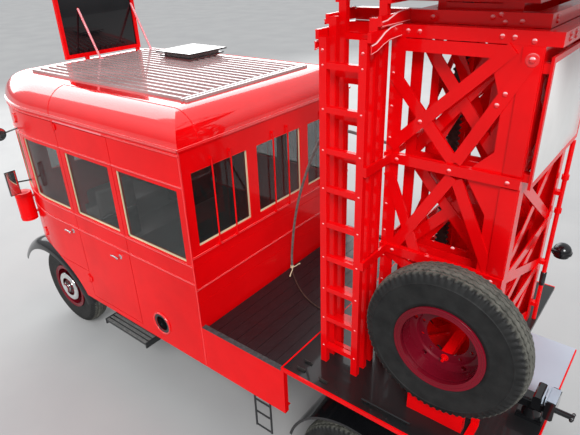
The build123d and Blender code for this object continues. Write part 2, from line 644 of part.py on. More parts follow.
# Steering knuckles: a fork round the axle's eye, its kingpin and the stub for the wheel
wheel_y = FRONT_TRACK / 2
fork_gap = EYE_HEIGHT / 2 + 5
LUG = 26
knuckle = Pos(X_FRONT_AXLE, KINGPIN_Y, axle_z) * Cylinder(KINGPIN_RADIUS, KNUCKLE_HEIGHT)
for sign in (1, -1):
    z_mid = axle_z + sign * (fork_gap + LUG / 2)
    knuckle += Pos(X_FRONT_AXLE, KINGPIN_Y, z_mid) * Cylinder(36, LUG)
    knuckle += box(X_FRONT_AXLE - 34, X_FRONT_AXLE + 34, KINGPIN_Y, KINGPIN_Y + 66,
                   z_mid - LUG / 2, z_mid + LUG / 2)
yoke_y = KINGPIN_Y + EYE_RADIUS + 6
knuckle += box(X_FRONT_AXLE - 34, X_FRONT_AXLE + 34, yoke_y, yoke_y + 22,
               axle_z - fork_gap - LUG, axle_z + fork_gap + LUG)
knuckle += Pos(X_FRONT_AXLE, (yoke_y + wheel_y + 120) / 2, axle_z) * Rot(90, 0, 0) * Cylinder(
    FRONT_STUB, wheel_y + 120 - yoke_y)
both_sides("steering_knuckle", knuckle)


# Wheels and tyres are turned about Y; a profile holds (radius, distance outward) points
def turned(points, x, y, z, outward=1):
    face = make_face(Polyline(*[(r, outward * u) for r, u in points], close=True))
    solid = revolve(face, Axis.Y)
    return Pos(x, y, z) * solid


def tyre(x, y, z):
    half = TYRE_WIDTH / 2
    bead = half - 14
    wall_r = (FLANGE_RADIUS + TYRE_RADIUS) / 2
    shoulder_r = TYRE_RADIUS - 24
    shoulder = half - 22
    edges = [
        Line((RIM_RADIUS + GAP, -bead), (RIM_RADIUS + GAP, bead)),
        Line((RIM_RADIUS + GAP, bead), (FLANGE_RADIUS, bead + 1)),
        ThreePointArc((FLANGE_RADIUS, bead + 1), (wall_r, half), (shoulder_r, shoulder)),
        ThreePointArc((shoulder_r, shoulder), (TYRE_RADIUS, 0), (shoulder_r, -shoulder)),
        ThreePointArc((shoulder_r, -shoulder), (wall_r, -half), (FLANGE_RADIUS, -bead - 1)),
        Line((FLANGE_RADIUS, -bead - 1), (RIM_RADIUS + GAP, -bead)),
    ]
    return Pos(x, y, z) * revolve(make_face(edges), Axis.Y)


RIM_SKIN = 9


def rim_points(shift):
    """Outline of one rim: well between two flanges, about a plane shifted outward."""
    half = TYRE_WIDTH / 2 - 14 + GAP
    edge = half + 11
    top = FLANGE_RADIUS - 2
    seat = RIM_RADIUS
    inner = seat - RIM_SKIN
    return [
        (inner, shift - edge), (top, shift - edge), (top, shift - half - 1), (seat, shift - half - 1),
        (seat, shift + half + 1), (top, shift + half + 1), (top, shift + edge), (inner, shift + edge),
    ]


# Front wheel: a dished disc, hub drum and the guard ring round its nuts
DISC_THICK = 12
DISC_OUT = 46
HUB_RADIUS = 92
front_rim = turned(rim_points(0), 0, 0, 0)
front_disc = turned([(HUB_RADIUS - 6, DISC_OUT + 22), (RIM_RADIUS - RIM_SKIN + 2, DISC_OUT - 22),
                     (RIM_RADIUS - RIM_SKIN + 2, DISC_OUT - 22 - DISC_THICK),
                     (HUB_RADIUS - 6, DISC_OUT + 22 - DISC_THICK)], 0, 0, 0)
hub = turned([(FRONT_STUB + FIT, -10), (HUB_RADIUS, -10), (HUB_RADIUS, DISC_OUT + 60),
              (62, DISC_OUT + 66), (62, DISC_OUT + 104), (40, DISC_OUT + 118), (0, DISC_OUT + 118),
              (0, DISC_OUT + 78), (FRONT_STUB + FIT, DISC_OUT + 78)], 0, 0, 0)
ring = turned([(172, DISC_OUT - 8), (186, DISC_OUT - 8), (186, DISC_OUT + 62), (172, DISC_OUT + 74),
               (118, DISC_OUT + 74), (118, DISC_OUT + 62), (172, DISC_OUT + 58)], 0, 0, 0)
HOLE_COUNT = 8
HOLE_RADIUS = 24
hole_pitch = (186 + RIM_RADIUS - RIM_SKIN) / 2
front_wheel = front_rim + front_disc + hub + ring
for i in range(HOLE_COUNT):
    a = math.tau * i / HOLE_COUNT
    front_wheel -= Pos(hole_pitch * math.cos(a), DISC_OUT, hole_pitch * math.sin(a)) * Rot(
        90, 0, 0) * Cylinder(HOLE_RADIUS, 120)
both_sides("front_wheel", Pos(X_FRONT_AXLE, wheel_y, axle_z) * front_wheel)
both_sides("front_tyre", tyre(X_FRONT_AXLE, wheel_y, axle_z))

# Rear twin wheels on one hub
twin_y = TWIN_TRACK / 2
half_pitch = TWIN_SPACING / 2
rear_wheel = turned(rim_points(half_pitch), 0, 0, 0)
rear_wheel += turned(rim_points(-half_pitch), 0, 0, 0)
rear_wheel += turned([(HUB_RADIUS, -8), (RIM_RADIUS - RIM_SKIN + 2, half_pitch - 40),
                      (RIM_RADIUS - RIM_SKIN + 2, half_pitch - 40 + DISC_THICK),
                      (HUB_RADIUS, 8 + DISC_THICK)], 0, 0, 0)
rear_wheel += turned([(HUB_RADIUS, 8), (RIM_RADIUS - RIM_SKIN + 2, -half_pitch + 40),
                      (RIM_RADIUS - RIM_SKIN + 2, -half_pitch + 40 - DISC_THICK),
                      (HUB_RADIUS, -8 - DISC_THICK)], 0, 0, 0)
rear_wheel += turned([(STUB_RADIUS + FIT, -150), (HUB_RADIUS + 40, -150), (HUB_RADIUS + 40, 70),
                      (HUB_RADIUS, 130), (60, 136), (0, 136), (0, 128), (STUB_RADIUS + FIT, 128)], 0, 0, 0)
for i in range(HOLE_COUNT):
    a = math.tau * i / HOLE_COUNT
    rear_wheel -= Pos(205 * math.cos(a), 0, 205 * math.sin(a)) * Rot(90, 0, 0) * Cylinder(HOLE_RADIUS, 240)
both_sides("rear_wheel", Pos(X_REAR_AXLE, twin_y, axle_z) * rear_wheel)
both_sides("rear_tyre", [tyre(X_REAR_AXLE, twin_y + half_pitch, axle_z),
                         tyre(X_REAR_AXLE, twin_y - half_pitch, axle_z)])


# Mudguards: domed front wings and plain rear arches
def wing_section():
    inner = WING_INNER_RADIUS
    outer = WING_OUTER_RADIUS
    edge = HALF_WIDTH
    skin = WING_SKIN
    return make_face([
        Line((inner, WING_INNER_Y), (inner, WING_CROWN_Y)),
        ThreePointArc((inner, WING_CROWN_Y),
                      (inner - (inner - outer) * 0.293, WING_CROWN_Y + (edge - WING_CROWN_Y) * 0.707),
                      (outer, edge)),
        Line((outer, edge), (outer, edge - skin)),
        ThreePointArc((outer, edge - skin),
                      (inner - skin - (inner - skin - outer) * 0.293,
                       WING_CROWN_Y + (edge - skin - WING_CROWN_Y) * 0.707),
                      (inner - skin, WING_CROWN_Y)),
        Line((inner - skin, WING_CROWN_Y), (inner - skin, WING_INNER_Y)),
        Line((inner - skin, WING_INNER_Y), (inner, WING_INNER_Y)),
    ])


wing_sweep = WING_REAR_ANGLE - WING_FRONT_ANGLE
front_wing = revolve(wing_section(), Axis.Y, wing_sweep)
front_wing = Pos(WING_X, 0, WING_Z) * Rot(0, -WING_FRONT_ANGLE - wing_sweep, 0) * front_wing
rear_wing = revolve(make_face(Polyline(
    (REAR_WING_RADIUS, REAR_WING_INNER_Y), (REAR_WING_RADIUS, HALF_WIDTH),
    (REAR_WING_RADIUS - 22, HALF_WIDTH), (REAR_WING_RADIUS - 22, HALF_WIDTH - 6),
    (REAR_WING_RADIUS - 6, HALF_WIDTH - 6), (REAR_WING_RADIUS - 6, REAR_WING_INNER_Y),
    close=True)), Axis.Y, 150)
rear_wing = Pos(X_REAR_AXLE, 0, axle_z) * Rot(0, -15 - 150, 0) * rear_wing
for back in (1390, 1650):
    x = X_WALL - back
    arch_z = axle_z + math.sqrt(REAR_WING_RADIUS ** 2 - (x - X_REAR_AXLE) ** 2)
    rear_wing += box(x - 15, x + 15, 880, 920, arch_z - 4, deck_under - BEARER_DEPTH - GAP)
node("mudguards", pair(front_wing) + pair(rear_wing))

# Steps: slatted step under the middle door and the stirrup below the deck's side panel
STEP = (920, 1620)
STEP_TOP = 660
STEP_INNER_Y = 860
STEP_BAR = 14
step = []
for i in range(6):
    y = STEP_INNER_Y + 22 + i * (HALF_WIDTH - STEP_INNER_Y - 44) / 5
    step.append(box(X_WALL + STEP[0] + STEP_BAR + GAP, X_WALL + STEP[1] - STEP_BAR - GAP,
                    y - 17, y + 17, STEP_TOP - 28, STEP_TOP))
for x in (X_WALL + STEP[0], X_WALL + STEP[1] - STEP_BAR):
    step.append(box(x, x + STEP_BAR, STEP_INNER_Y + GAP, HALF_WIDTH, STEP_TOP - 58, STEP_TOP + 4))
    step.append(box(x, x + STEP_BAR, STEP_INNER_Y - 30, STEP_INNER_Y, STEP_TOP - 58, rail_bottom + 50))
    step.append(box(x, x + STEP_BAR, RAIL_Y + GAP, STEP_INNER_Y - 30 - GAP,
                    rail_bottom + 20, rail_bottom + 50))
STIRRUP = (-700, -530)
STIRRUP_RADIUS = 9
stirrup = []
for x in STIRRUP:
    stirrup.append(rod((X_WALL + x, HALF_WIDTH - 40, 470), (X_WALL + x, HALF_WIDTH - 40, CAB_BOTTOM - GAP),
                       STIRRUP_RADIUS))
for z in (479, 640, 780):
    rung = rod((X_WALL + STIRRUP[0], HALF_WIDTH - 40, z), (X_WALL + STIRRUP[1], HALF_WIDTH - 40, z),
               STIRRUP_RADIUS - 1)
    for x in STIRRUP:
        rung -= Pos(X_WALL + x, HALF_WIDTH - 40, z) * Cylinder(STIRRUP_RADIUS + GAP, 60)
    stirrup.append(rung)
node("steps", step + [mirror_y(piece) for piece in step] + stirrup)

# Fuel tank outside the offside rail
tank = Pos(X_WALL + 350, -RAIL_Y - 250, 660) * Rot(0, 90, 0) * Cylinder(200, 760)
for x in (120, 560):
    tank += box(X_WALL + x, X_WALL + x + 40, -RAIL_Y - 260, -RAIL_Y - GAP, 690, 720)
node("fuel_tank", tank)

# Seats: two front seats either side of the engine cover, and the crew's bench
SEAT_BACK_TOP = 1900
seats = []
for side in (1, -1):
    y0 = side * 360
    y1 = side * 860
    base = box(X_WALL + 1830, X_WALL + 2250, y0, y1, FRONT_FLOOR_Z + GAP, FRONT_FLOOR_Z + 330)
    seats.append(fillet(base.edges().group_by(Axis.Z)[-1], 40))
    seats.append(box(X_WALL + 1775, X_WALL + 1830 - GAP, y0, y1, FRONT_FLOOR_Z + GAP,
                     SEAT_BACK_TOP + 130))
bench = box(X_WALL + 140 + GAP, X_WALL + 620, -980, 980, REAR_FLOOR_Z + GAP, REAR_FLOOR_Z + 430)
seats.append(fillet(bench.edges().group_by(Axis.Z)[-1], 40))
seats.append(box(X_WALL + WALL + GAP, X_WALL + 140, -980, 980, REAR_FLOOR_Z + GAP, SEAT_BACK_TOP))
node("seats", seats)

# Steering wheel on its raked column, on the offside
WHEEL_Y = -610
column_foot = Vector(X_WALL + 2850, WHEEL_Y, FRONT_FLOOR_Z + GAP)
column_top = Vector(X_WALL + 2480, WHEEL_Y, FRONT_FLOOR_Z + 560)
column = rod(tuple(column_foot + Vector(0, 0, 14)), tuple(column_top), 22)
column += box(column_foot.X - 60, column_foot.X + 60, WHEEL_Y - 50, WHEEL_Y + 50,
              column_foot.Z, column_foot.Z + 40)
wheel_plane = Plane(origin=column_top, z_dir=column_top - column_foot)
column += wheel_plane * Torus(225, 13)
for angle in (0, 120, 240):
    spoke = Rot(0, 0, angle) * Pos(112, 0, 0) * Box(225, 22, 9)
    column += wheel_plane * spoke
column += wheel_plane * Cylinder(40, 36)
node("steering_wheel", column)

# Plank deck behind the cab, and the side panels below its edges
PLANKS = 8
VALANCE_THICK = 44
plank_half = HALF_WIDTH - VALANCE_THICK - GAP
PLANK_JOINT = 3
plank_rear = X_WALL - PLANK_LENGTH
planks = []
plank_pitch = (PLANK_LENGTH - WALL_GAP) / PLANKS
for i in range(PLANKS):
    x1 = X_WALL - WALL_GAP - i * plank_pitch
    planks.append(box(x1 - plank_pitch + PLANK_JOINT, x1, -plank_half, plank_half, plank_under, PLANK_TOP))
node("plank_deck", planks)
valance = box(X_WALL - VALANCE_LENGTH, X_WALL - GAP, HALF_WIDTH - VALANCE_THICK, HALF_WIDTH,
              CAB_BOTTOM, VALANCE_TOP)
valance += box(X_WALL - VALANCE_LENGTH + 30, X_WALL - 20, HALF_WIDTH - VALANCE_THICK - 60,
               HALF_WIDTH - VALANCE_THICK + 1, CAB_BOTTOM, CAB_BOTTOM + 8)
BAND = 12
deck_rear_x = X_WALL - DECK_REAR
well_front = deck_rear_x + STEP_WELL_LENGTH
GLAND = (12, 6, 330, 1324)
band_in = BAND + GAP
bands = [box(deck_rear_x, plank_rear, HALF_WIDTH - BAND, HALF_WIDTH, deck_under, DECK_TOP),
         box(deck_rear_x, deck_rear_x + BAND, STEP_WELL_Y, HALF_WIDTH - band_in, deck_under, DECK_TOP),
         box(well_front, plank_rear, -HALF_WIDTH, -HALF_WIDTH + BAND, deck_under, DECK_TOP)]
gland_radius, gland_length, gland_y, gland_z = GLAND
gland = Pos(plank_rear + gland_length / 2, gland_y, gland_z) * Rot(0, 90, 0) * Cylinder(
    gland_radius, gland_length)
bands.append(gland + box(plank_rear - BAND, plank_rear, -HALF_WIDTH + band_in, HALF_WIDTH - band_in,
                         deck_under, DECK_TOP))
valance -= box(plank_rear - 40, plank_rear + 3 * GAP, HALF_WIDTH - VALANCE_THICK - 70, HALF_WIDTH + 1,
               deck_under - GAP, DECK_TOP)
node("deck_side_panels", pair(valance) + bands)

# Rear deck inside its edge band, with the step well at the rear offside corner and a bar clipped on top
deck = box(deck_rear_x + band_in, plank_rear - band_in, -HALF_WIDTH + band_in, HALF_WIDTH - band_in,
           deck_under, DECK_TOP)
deck -= box(deck_rear_x - 1, well_front + GAP, -HALF_WIDTH - 1, STEP_WELL_Y + GAP,
            deck_under - 1, DECK_TOP + 1)
DECK_BAR_Y = 1060
DECK_BAR = (-1531, -1897)
bar_z = DECK_TOP + 16
deck += rod((X_WALL + DECK_BAR[0], DECK_BAR_Y, bar_z), (X_WALL + DECK_BAR[1], DECK_BAR_Y, bar_z), 8)
for x in (DECK_BAR[0] - 40, DECK_BAR[1] + 40):
    deck += box(X_WALL + x - 12, X_WALL + x + 12, DECK_BAR_Y - 14, DECK_BAR_Y + 14,
                DECK_TOP - 1, DECK_TOP + 18)
node("rear_deck", deck)
tail = box(X_WALL - TAIL_PLATE_REAR, X_WALL - TAIL_PLATE_FRONT, STEP_WELL_Y + 6, 430,
           DECK_TOP + GAP, DECK_TOP + 12)
node("tail_plate", tail)

# Bench vice at the rear edge of the deck
VICE_Y = 500
VICE_X = -2500
vx = X_WALL + VICE_X
vice = box(vx - 75, vx + 85, VICE_Y - 66, VICE_Y + 66, DECK_TOP + GAP, DECK_TOP + 22)
vice += Pos(vx, VICE_Y, DECK_TOP + 55) * Cone(64, 50, 70)
vice_body = box(vx - 60, vx + 130, VICE_Y - 48, VICE_Y + 48, DECK_TOP + 85, DECK_TOP + 165)
vice += fillet(vice_body.edges().filter_by(Axis.X), 16)
fixed_jaw = box(vx - 50, vx + 4, VICE_Y - 78, VICE_Y + 78, DECK_TOP + 130, DECK_TOP + 232)
vice += chamfer(fixed_jaw.edges().filter_by(Axis.Y), 10)
moving_jaw = box(vx - 132, vx - 74, VICE_Y - 78, VICE_Y + 78, DECK_TOP + 84, DECK_TOP + 232)
vice += chamfer(moving_jaw.edges().filter_by(Axis.Y), 12)
for x in (vx - 56, vx - 75):
    vice += box(x, x + 7, VICE_Y - 70, VICE_Y + 70, DECK_TOP + 190, DECK_TOP + 236)
vice += box(vx - 80, vx - 40, VICE_Y - 32, VICE_Y + 32, DECK_TOP + 96, DECK_TOP + 150)
tail_tip = X_REAR_AXLE - REAR_OVERHANG
screw_z = DECK_TOP + 122
handle_x = tail_tip + 12
vice += rod((vx - 120, VICE_Y, screw_z), (tail_tip, VICE_Y, screw_z), 19)
vice += rod((handle_x, VICE_Y - 105, screw_z - 70), (handle_x, VICE_Y + 105, screw_z + 70), 8)
for side in (1, -1):
    vice += Pos(handle_x, VICE_Y + side * 105, screw_z + side * 70) * Sphere(12)
node("bench_vice", vice)

# Spare wheel, upright on the nearside of the tower, on its carrier
SPARE_X = -1996
SPARE_Z = 1994
SPARE_OUTER_Y = 1000
SPARE_EYE = 138
SPARE_STUDS = 10
SPARE_HOLES = 5
spare_y = SPARE_OUTER_Y - TYRE_WIDTH / 2
spare = turned(rim_points(0), 0, 0, 0)
spare += turned([(SPARE_EYE, -46), (192, -46), (200, -34), (RIM_RADIUS - RIM_SKIN + 2, -26),
                 (RIM_RADIUS - RIM_SKIN + 2, -26 - DISC_THICK), (202, -46), (196, -58), (SPARE_EYE, -58)],
                0, 0, 0)
for i in range(SPARE_STUDS):
    a = math.tau * (i + 0.5) / SPARE_STUDS
    spare -= Pos(168 * math.cos(a), -50, 168 * math.sin(a)) * Rot(90, 0, 0) * Cylinder(12, 60)
for i in range(SPARE_HOLES):
    a = math.tau * (i + 0.25) / SPARE_HOLES
    spare -= Pos(222 * math.cos(a), -40, 222 * math.sin(a)) * Rot(90, 0, 0) * Cylinder(17, 60)
node("spare_wheel", Pos(X_WALL + SPARE_X, spare_y, SPARE_Z) * spare)
node("spare_tyre", tyre(X_WALL + SPARE_X, spare_y, SPARE_Z))
sx = X_WALL + SPARE_X
flange_back = spare_y - 58 - GAP
plate_y = TOWER_HALF_WIDTH + CROSSBAR_PROUD + GAP
carrier = box(sx - 75, sx + 75, plate_y, plate_y + 16, SPARE_Z - 330, SPARE_Z + 190)
for z in (SPARE_Z - 168, SPARE_Z + 168):
    carrier += box(sx - 34, sx + 34, plate_y + 10, flange_back, z - 24, z + 24)
    carrier += Pos(sx, flange_back + 26, z) * Rot(90, 0, 0) * Cylinder(10, 54)
TOE = (-2260, -2210)
toe = box(X_WALL + TOE[0], X_WALL + TOE[1], 800, 1100, DECK_TOP + GAP, DECK_TOP + 14)
toe += box(X_WALL + TOE[0], X_WALL + TOE[1], 800, 814, DECK_TOP + 10, DECK_TOP + 60)
SADDLE_HALF = 190
SADDLE_TOP = 1525
saddle = box(sx - SADDLE_HALF, sx + SADDLE_HALF, spare_y - 30, spare_y + 30, DECK_TOP + GAP, SADDLE_TOP)
saddle -= Pos(sx, spare_y, SPARE_Z) * Rot(90, 0, 0) * Cylinder(TYRE_RADIUS + GAP, 80)
node("spare_carrier", [carrier, saddle, toe])


# Tower stages: each side is a flat lattice of stiles, rails and crossed bars
def flat_bar(a, b, width, thickness):
    """A flat bar in the XZ plane between two points, lying on y from 0 to its thickness."""
    length = math.dist(a, b)
    angle = math.degrees(math.atan2(b[1] - a[1], b[0] - a[0]))
    bar = Box(length, thickness, width)
    return Pos((a[0] + b[0]) / 2, -thickness / 2, (a[1] + b[1]) / 2) * Rot(0, -angle, 0) * bar


def lattice(x0, x1, z0, z1, stile0, stile1, crossed=True):
    """Pieces of a side in the XZ plane: stiles and rails below y = 0, and two layers of bars inside them."""
    levels = [z0 + 40, *RAIL_LEVELS, z1 - 40]
    pieces = [box(x0, x0 + stile0, -SKIN, 0, z0, z1), box(x1 - stile1, x1, -SKIN, 0, z0, z1)]
    for z in levels:
        pieces.append(box(x0 + stile0 + GAP, x1 - stile1 - GAP, -SKIN, 0, z - 35, z + 35))
    room = box(x0 + CORNER_ROOM, x1 - CORNER_ROOM, -100, 0, z0, z1)
    for low, high in zip(levels, levels[1:] if crossed else []):
        a = (x0 + 25, low)
        b = (x1 - 25, high)
        c = (x0 + 25, high)
        d = (x1 - 25, low)
        outer = Pos(0, -SKIN - GAP, 0) * flat_bar(a, b, BAR_WIDTH, CROSS_THICK)
        inner = Pos(0, -SKIN - CROSS_THICK - 2 * GAP, 0) * flat_bar(c, d, BAR_WIDTH, CROSS_THICK)
        pieces += [outer & room, inner & room]
    return pieces


def base_side(x0, x1, z0, z1):
    """A side of the base stage: its posts, gussets and the flat bars that the photograph shows."""
    side = box(x0, x0 + STILE_REAR, -SKIN, 0, z0, z1) + box(x1 - STILE_FRONT, x1, -SKIN, 0, z0, z1)
    for z in (z0 + 40, *RAIL_LEVELS, z1 - 40):
        side += box(x0, x1, -SKIN, 0, z - 35, z + 35)
    for back0, low, back1, high, proud in SIDE_BARS:
        bar = flat_bar((X_WALL - back0, low), (X_WALL - back1, high), BAR_WIDTH, SKIN + proud)
        side += Pos(0, proud, 0) * bar
    back, z = ROUND_BAR_TOP
    side += Pos(X_WALL - back, 0, z) * Rot(90, 0, 0) * Cylinder(BAR_WIDTH / 2, 2 * SIDE_BARS[2][4])
    for points in GUSSETS:
        face = make_face(Polyline(*[(X_WALL - back, z) for back, z in points], close=True))
        side += extrude(Plane.XZ * face, SKIN)
    return side


# Flat bars of the base stage's sides: distance behind the cab wall and height of both ends,
# and how far the bar stands out from the posts
SIDE_BARS = [
    (1385, 3465, 1800, 3000, 6), (1385, 3030, 2040, 3670, CROSSBAR_PROUD),
    (1812, 3010, 2137, 3623, CROSSBAR_PROUD),
    (1380, 2850, 1610, 2310, 6), (1800, 2915, 1440, 2310, CROSSBAR_PROUD), (1828, 2900, 2100, 2330, 6),
    (1400, 1920, 2110, 2280, 6), (1400, 2280, 2110, 1920, CROSSBAR_PROUD),
    (1400, 1390, 2110, 1880, CROSSBAR_PROUD), (1400, 1880, 2110, 1390, 6),
]
ROUND_BAR_TOP = (2137, 3623)
GUSSETS = [
    [(1906, 3680), (2030, 3680), (2030, 3330)],
    [(1900, 2990), (2030, 2990), (2030, 3120)],
    [(1880, 2930), (2030, 2930), (2030, 2700)],
]
RAIL_LEVELS = (1900, 2300, 2960)
STILE_FRONT = 90
STILE_REAR = 170
END_STILE = 80
BAR_WIDTH = 72
CROSS_THICK = 6
CORNER_ROOM = SKIN + 2 * CROSS_THICK + 4 * GAP
RAIL_PROUD = 26
POLE_CLAMPS = (1500, 1900, 2500)


def stage(index):
    """Solids of one stage: nearside, offside, rear and front lattices, and the rim."""
    inset = STAGE_INSET * index
    foot = DECK_TOP + GAP
    half = TOWER_HALF_WIDTH - inset
    x_front = X_WALL - TOWER_FRONT - inset
    x_rear = X_WALL - TOWER_REAR + inset
    rim_low = TOWER_TOP + RIM_HEIGHT * index + (36 if index == 2 else 0)
    rim_high = rim_low + RIM_HEIGHT - 1
    if index == 0:
        pieces = pair(Pos(0, half, 0) * base_side(x_rear, x_front, foot, rim_low))
    else:
        near = lattice(x_rear, x_front, foot, rim_low, STILE_REAR - 30 * index, STILE_FRONT - 20 * index)
        pieces = [solid for piece in near for solid in pair(Pos(0, half, 0) * piece)]
    inner_half = half - SKIN - GAP
    stile = END_STILE - 10 * index
    for x, turn, crossed in ((x_rear, 90, True), (x_front, -90, index == 1)):
        end_side = lattice(-inner_half, inner_half, foot, rim_low, stile, stile, crossed)
        pieces += [Pos(x, 0, 0) * Rot(0, 0, turn) * piece for piece in end_side]
    tail_x = x_rear - RIM_TAIL
    front_arm = X_WALL - LADDER_FRONT + ARM_GAP
    rear_arm = X_WALL - LADDER_REAR - ARM_GAP
    ladder_y = LADDER_Y - LADDER_PITCH_Y * index
    arm_range = (ladder_y - STILE_DEPTH / 2, ladder_y + STILE_DEPTH / 2,
                 rim_low + ARM_RAISE, rim_low + RIM_HEIGHT - 8)
    pieces.append(box(tail_x, front_arm + ARM_THICK, half - RIM_WIDTH, half, rim_low + GAP, rim_high))
    for x, way in ((front_arm, 1), (rear_arm, -1)):
        arm = box(x, x + way * ARM_THICK, half + GAP, *arm_range[1:])
        pieces.append(arm + box(x - way * (ARM_GAP - GAP), x + way, *arm_range))
    rim_half = half - RIM_WIDTH - GAP
    pieces.append(box(tail_x, x_front, -half, -half + RIM_WIDTH, rim_low + GAP, rim_high))
    pieces.append(box(x_front - RIM_WIDTH, x_front, -rim_half, rim_half, rim_low + GAP, rim_high))
    pieces.append(box(tail_x, tail_x + RIM_TAIL + SKIN, -rim_half, rim_half, rim_low + GAP, rim_high))
    return pieces, rim_low


def ladder(index, low, high):
    """Two stiles along the height with square rungs between them."""
    y = LADDER_Y - LADDER_PITCH_Y * index
    front = X_WALL - LADDER_FRONT
    rear = X_WALL - LADDER_REAR
    pieces = [box(front - STILE_WIDTH, front, y - STILE_DEPTH / 2, y + STILE_DEPTH / 2, low, high),
              box(rear, rear + STILE_WIDTH, y - STILE_DEPTH / 2, y + STILE_DEPTH / 2, low, high)]
    count = int((high - FIRST_RUNG) / RUNG_PITCH) + 1
    for i in range(count):
        z = FIRST_RUNG + i * RUNG_PITCH - 60 * index
        if low + 40 < z < high - 20:
            pieces.append(box(rear + STILE_WIDTH + GAP, front - STILE_WIDTH - GAP, y - RUNG_SIZE / 2,
                              y + RUNG_SIZE / 2, z - RUNG_SIZE / 2, z + RUNG_SIZE / 2))
    return pieces


base_pieces, _ = stage(0)
for z in RAIL_LEVELS[1:]:
    rail_bar = box(X_WALL - TOWER_REAR, X_WALL - TOWER_FRONT, TOWER_HALF_WIDTH - 1,
                   TOWER_HALF_WIDTH + RAIL_PROUD, z - 32, z + 32)
    base_pieces[0] += rail_bar
    base_pieces[1] += mirror_y(rail_bar)
POLE_X = X_WALL - TOWER_REAR - 34
POLE_Y = -TOWER_HALF_WIDTH - 8
POLE_RADIUS = 17
pole = rod((POLE_X, POLE_Y, DECK_TOP + GAP), (POLE_X, POLE_Y, 2900), POLE_RADIUS)
for z in POLE_CLAMPS:
    pole += box(POLE_X, X_WALL - TOWER_REAR - GAP, POLE_Y - 12, POLE_Y + 40, z - 16, z + 16)
base_pieces.append(pole)
node("tower_base", base_pieces)
base_ladder = ladder(0, DECK_TOP + GAP, TOWER_TOP + 24)
arm_x = X_WALL - LADDER_REAR - ARM_GAP
for z in RAIL_LEVELS[1:]:
    arm = box(arm_x - ARM_THICK, arm_x, TOWER_HALF_WIDTH + RAIL_PROUD + GAP, LADDER_Y + STILE_DEPTH / 2,
              z - 30, z + 30)
    base_ladder.append(arm + box(arm_x - 1, arm_x + ARM_GAP - GAP, LADDER_Y - STILE_DEPTH / 2,
                                 LADDER_Y + STILE_DEPTH / 2, z - 30, z + 30))
node("base_ladder", base_ladder)

MIDDLE_LADDER_TOP = 3810
INNER_LADDER_TOP = 3900
middle_pieces, _ = stage(1)
node("middle_stage", middle_pieces + ladder(1, DECK_TOP + GAP, MIDDLE_LADDER_TOP))
inner_pieces, inner_rim = stage(2)
node("inner_stage", inner_pieces + ladder(2, DECK_TOP + GAP, INNER_LADDER_TOP))

# Lifting rack inside the inner stage, toothed on both edges
RACK_X = -1663
RACK_Y = 250
RACK_HALF = 30
RACK_THICK = 24
TOOTH = 13
TOOTH_PITCH = 36
rack_top = inner_rim + 60
rack_low = DECK_TOP + 60
rack_x = X_WALL + RACK_X
inner_half_width = TOWER_HALF_WIDTH - 2 * STAGE_INSET - RIM_WIDTH
head = box(rack_x - 30, rack_x + 30, -inner_half_width + GAP, inner_half_width - GAP,
           rack_top - 40, rack_top)
tooth_count = int((rack_top - rack_low - 80) / TOOTH_PITCH)
outline = [(rack_x + RACK_HALF, rack_low)]
for i in range(tooth_count):
    z = rack_low + 10 + i * TOOTH_PITCH
    outline += [(rack_x + RACK_HALF, z), (rack_x + RACK_HALF + TOOTH, z + 8),
                (rack_x + RACK_HALF + TOOTH, z + 16), (rack_x + RACK_HALF, z + 24)]
outline.append((rack_x + RACK_HALF, rack_top))
back = [(2 * rack_x - x, z) for x, z in reversed(outline)]
rack_face = make_face(Polyline(*(outline + back), close=True))
rack = Pos(0, RACK_Y + RACK_THICK / 2, 0) * extrude(Plane.XZ * rack_face, RACK_THICK)
node("lifting_rack", rack + head)

# Platform on its turntable, with fixed guard rails
platform_x = X_WALL - (TOWER_FRONT + TOWER_REAR) / 2
turntable_low = inner_rim + RIM_HEIGHT - 1 + GAP
platform = box(platform_x - PLATFORM_LENGTH / 2, platform_x + PLATFORM_LENGTH / 2,
               -PLATFORM_WIDTH / 2, PLATFORM_WIDTH / 2, PLATFORM_BOTTOM,
               PLATFORM_BOTTOM + PLATFORM_THICKNESS)
platform += Pos(platform_x, 0, (turntable_low + PLATFORM_BOTTOM) / 2 + 0.5) * Cylinder(
    330, PLATFORM_BOTTOM - turntable_low + 1)
MAT_INSET = 110
MAT_THICKNESS = 12
floor_z = PLATFORM_BOTTOM + PLATFORM_THICKNESS
mat_x = PLATFORM_LENGTH / 2 - MAT_INSET
mat_y = PLATFORM_WIDTH / 2 - MAT_INSET
platform += box(platform_x - mat_x, platform_x + mat_x, -mat_y, mat_y, floor_z - 1, floor_z + MAT_THICKNESS)
node("platform", platform)
GUARD_INSET = 40
guard_x = PLATFORM_LENGTH / 2 - GUARD_INSET
guard_y = PLATFORM_WIDTH / 2 - GUARD_INSET
posts = [(platform_x + side * along * guard_x, side * guard_y) for side in (-1, 1) for along in (1, 0, -1)]
guard = []
for x, y in posts:
    guard.append(rod((x, y, floor_z), (x, y, floor_z + RAIL_HEIGHT + RAIL_RADIUS), RAIL_RADIUS))
for here, there in zip(posts, posts[1:] + posts[:1]):
    for z in (floor_z + RAIL_HEIGHT / 2, floor_z + RAIL_HEIGHT):
        span = rod((*here, z), (*there, z), RAIL_RADIUS - 2)
        for x, y in (here, there):
            span -= Pos(x, y, z) * Cylinder(RAIL_RADIUS + GAP, 4 * RAIL_RADIUS)
        guard.append(span)
node("guard_rails", guard)

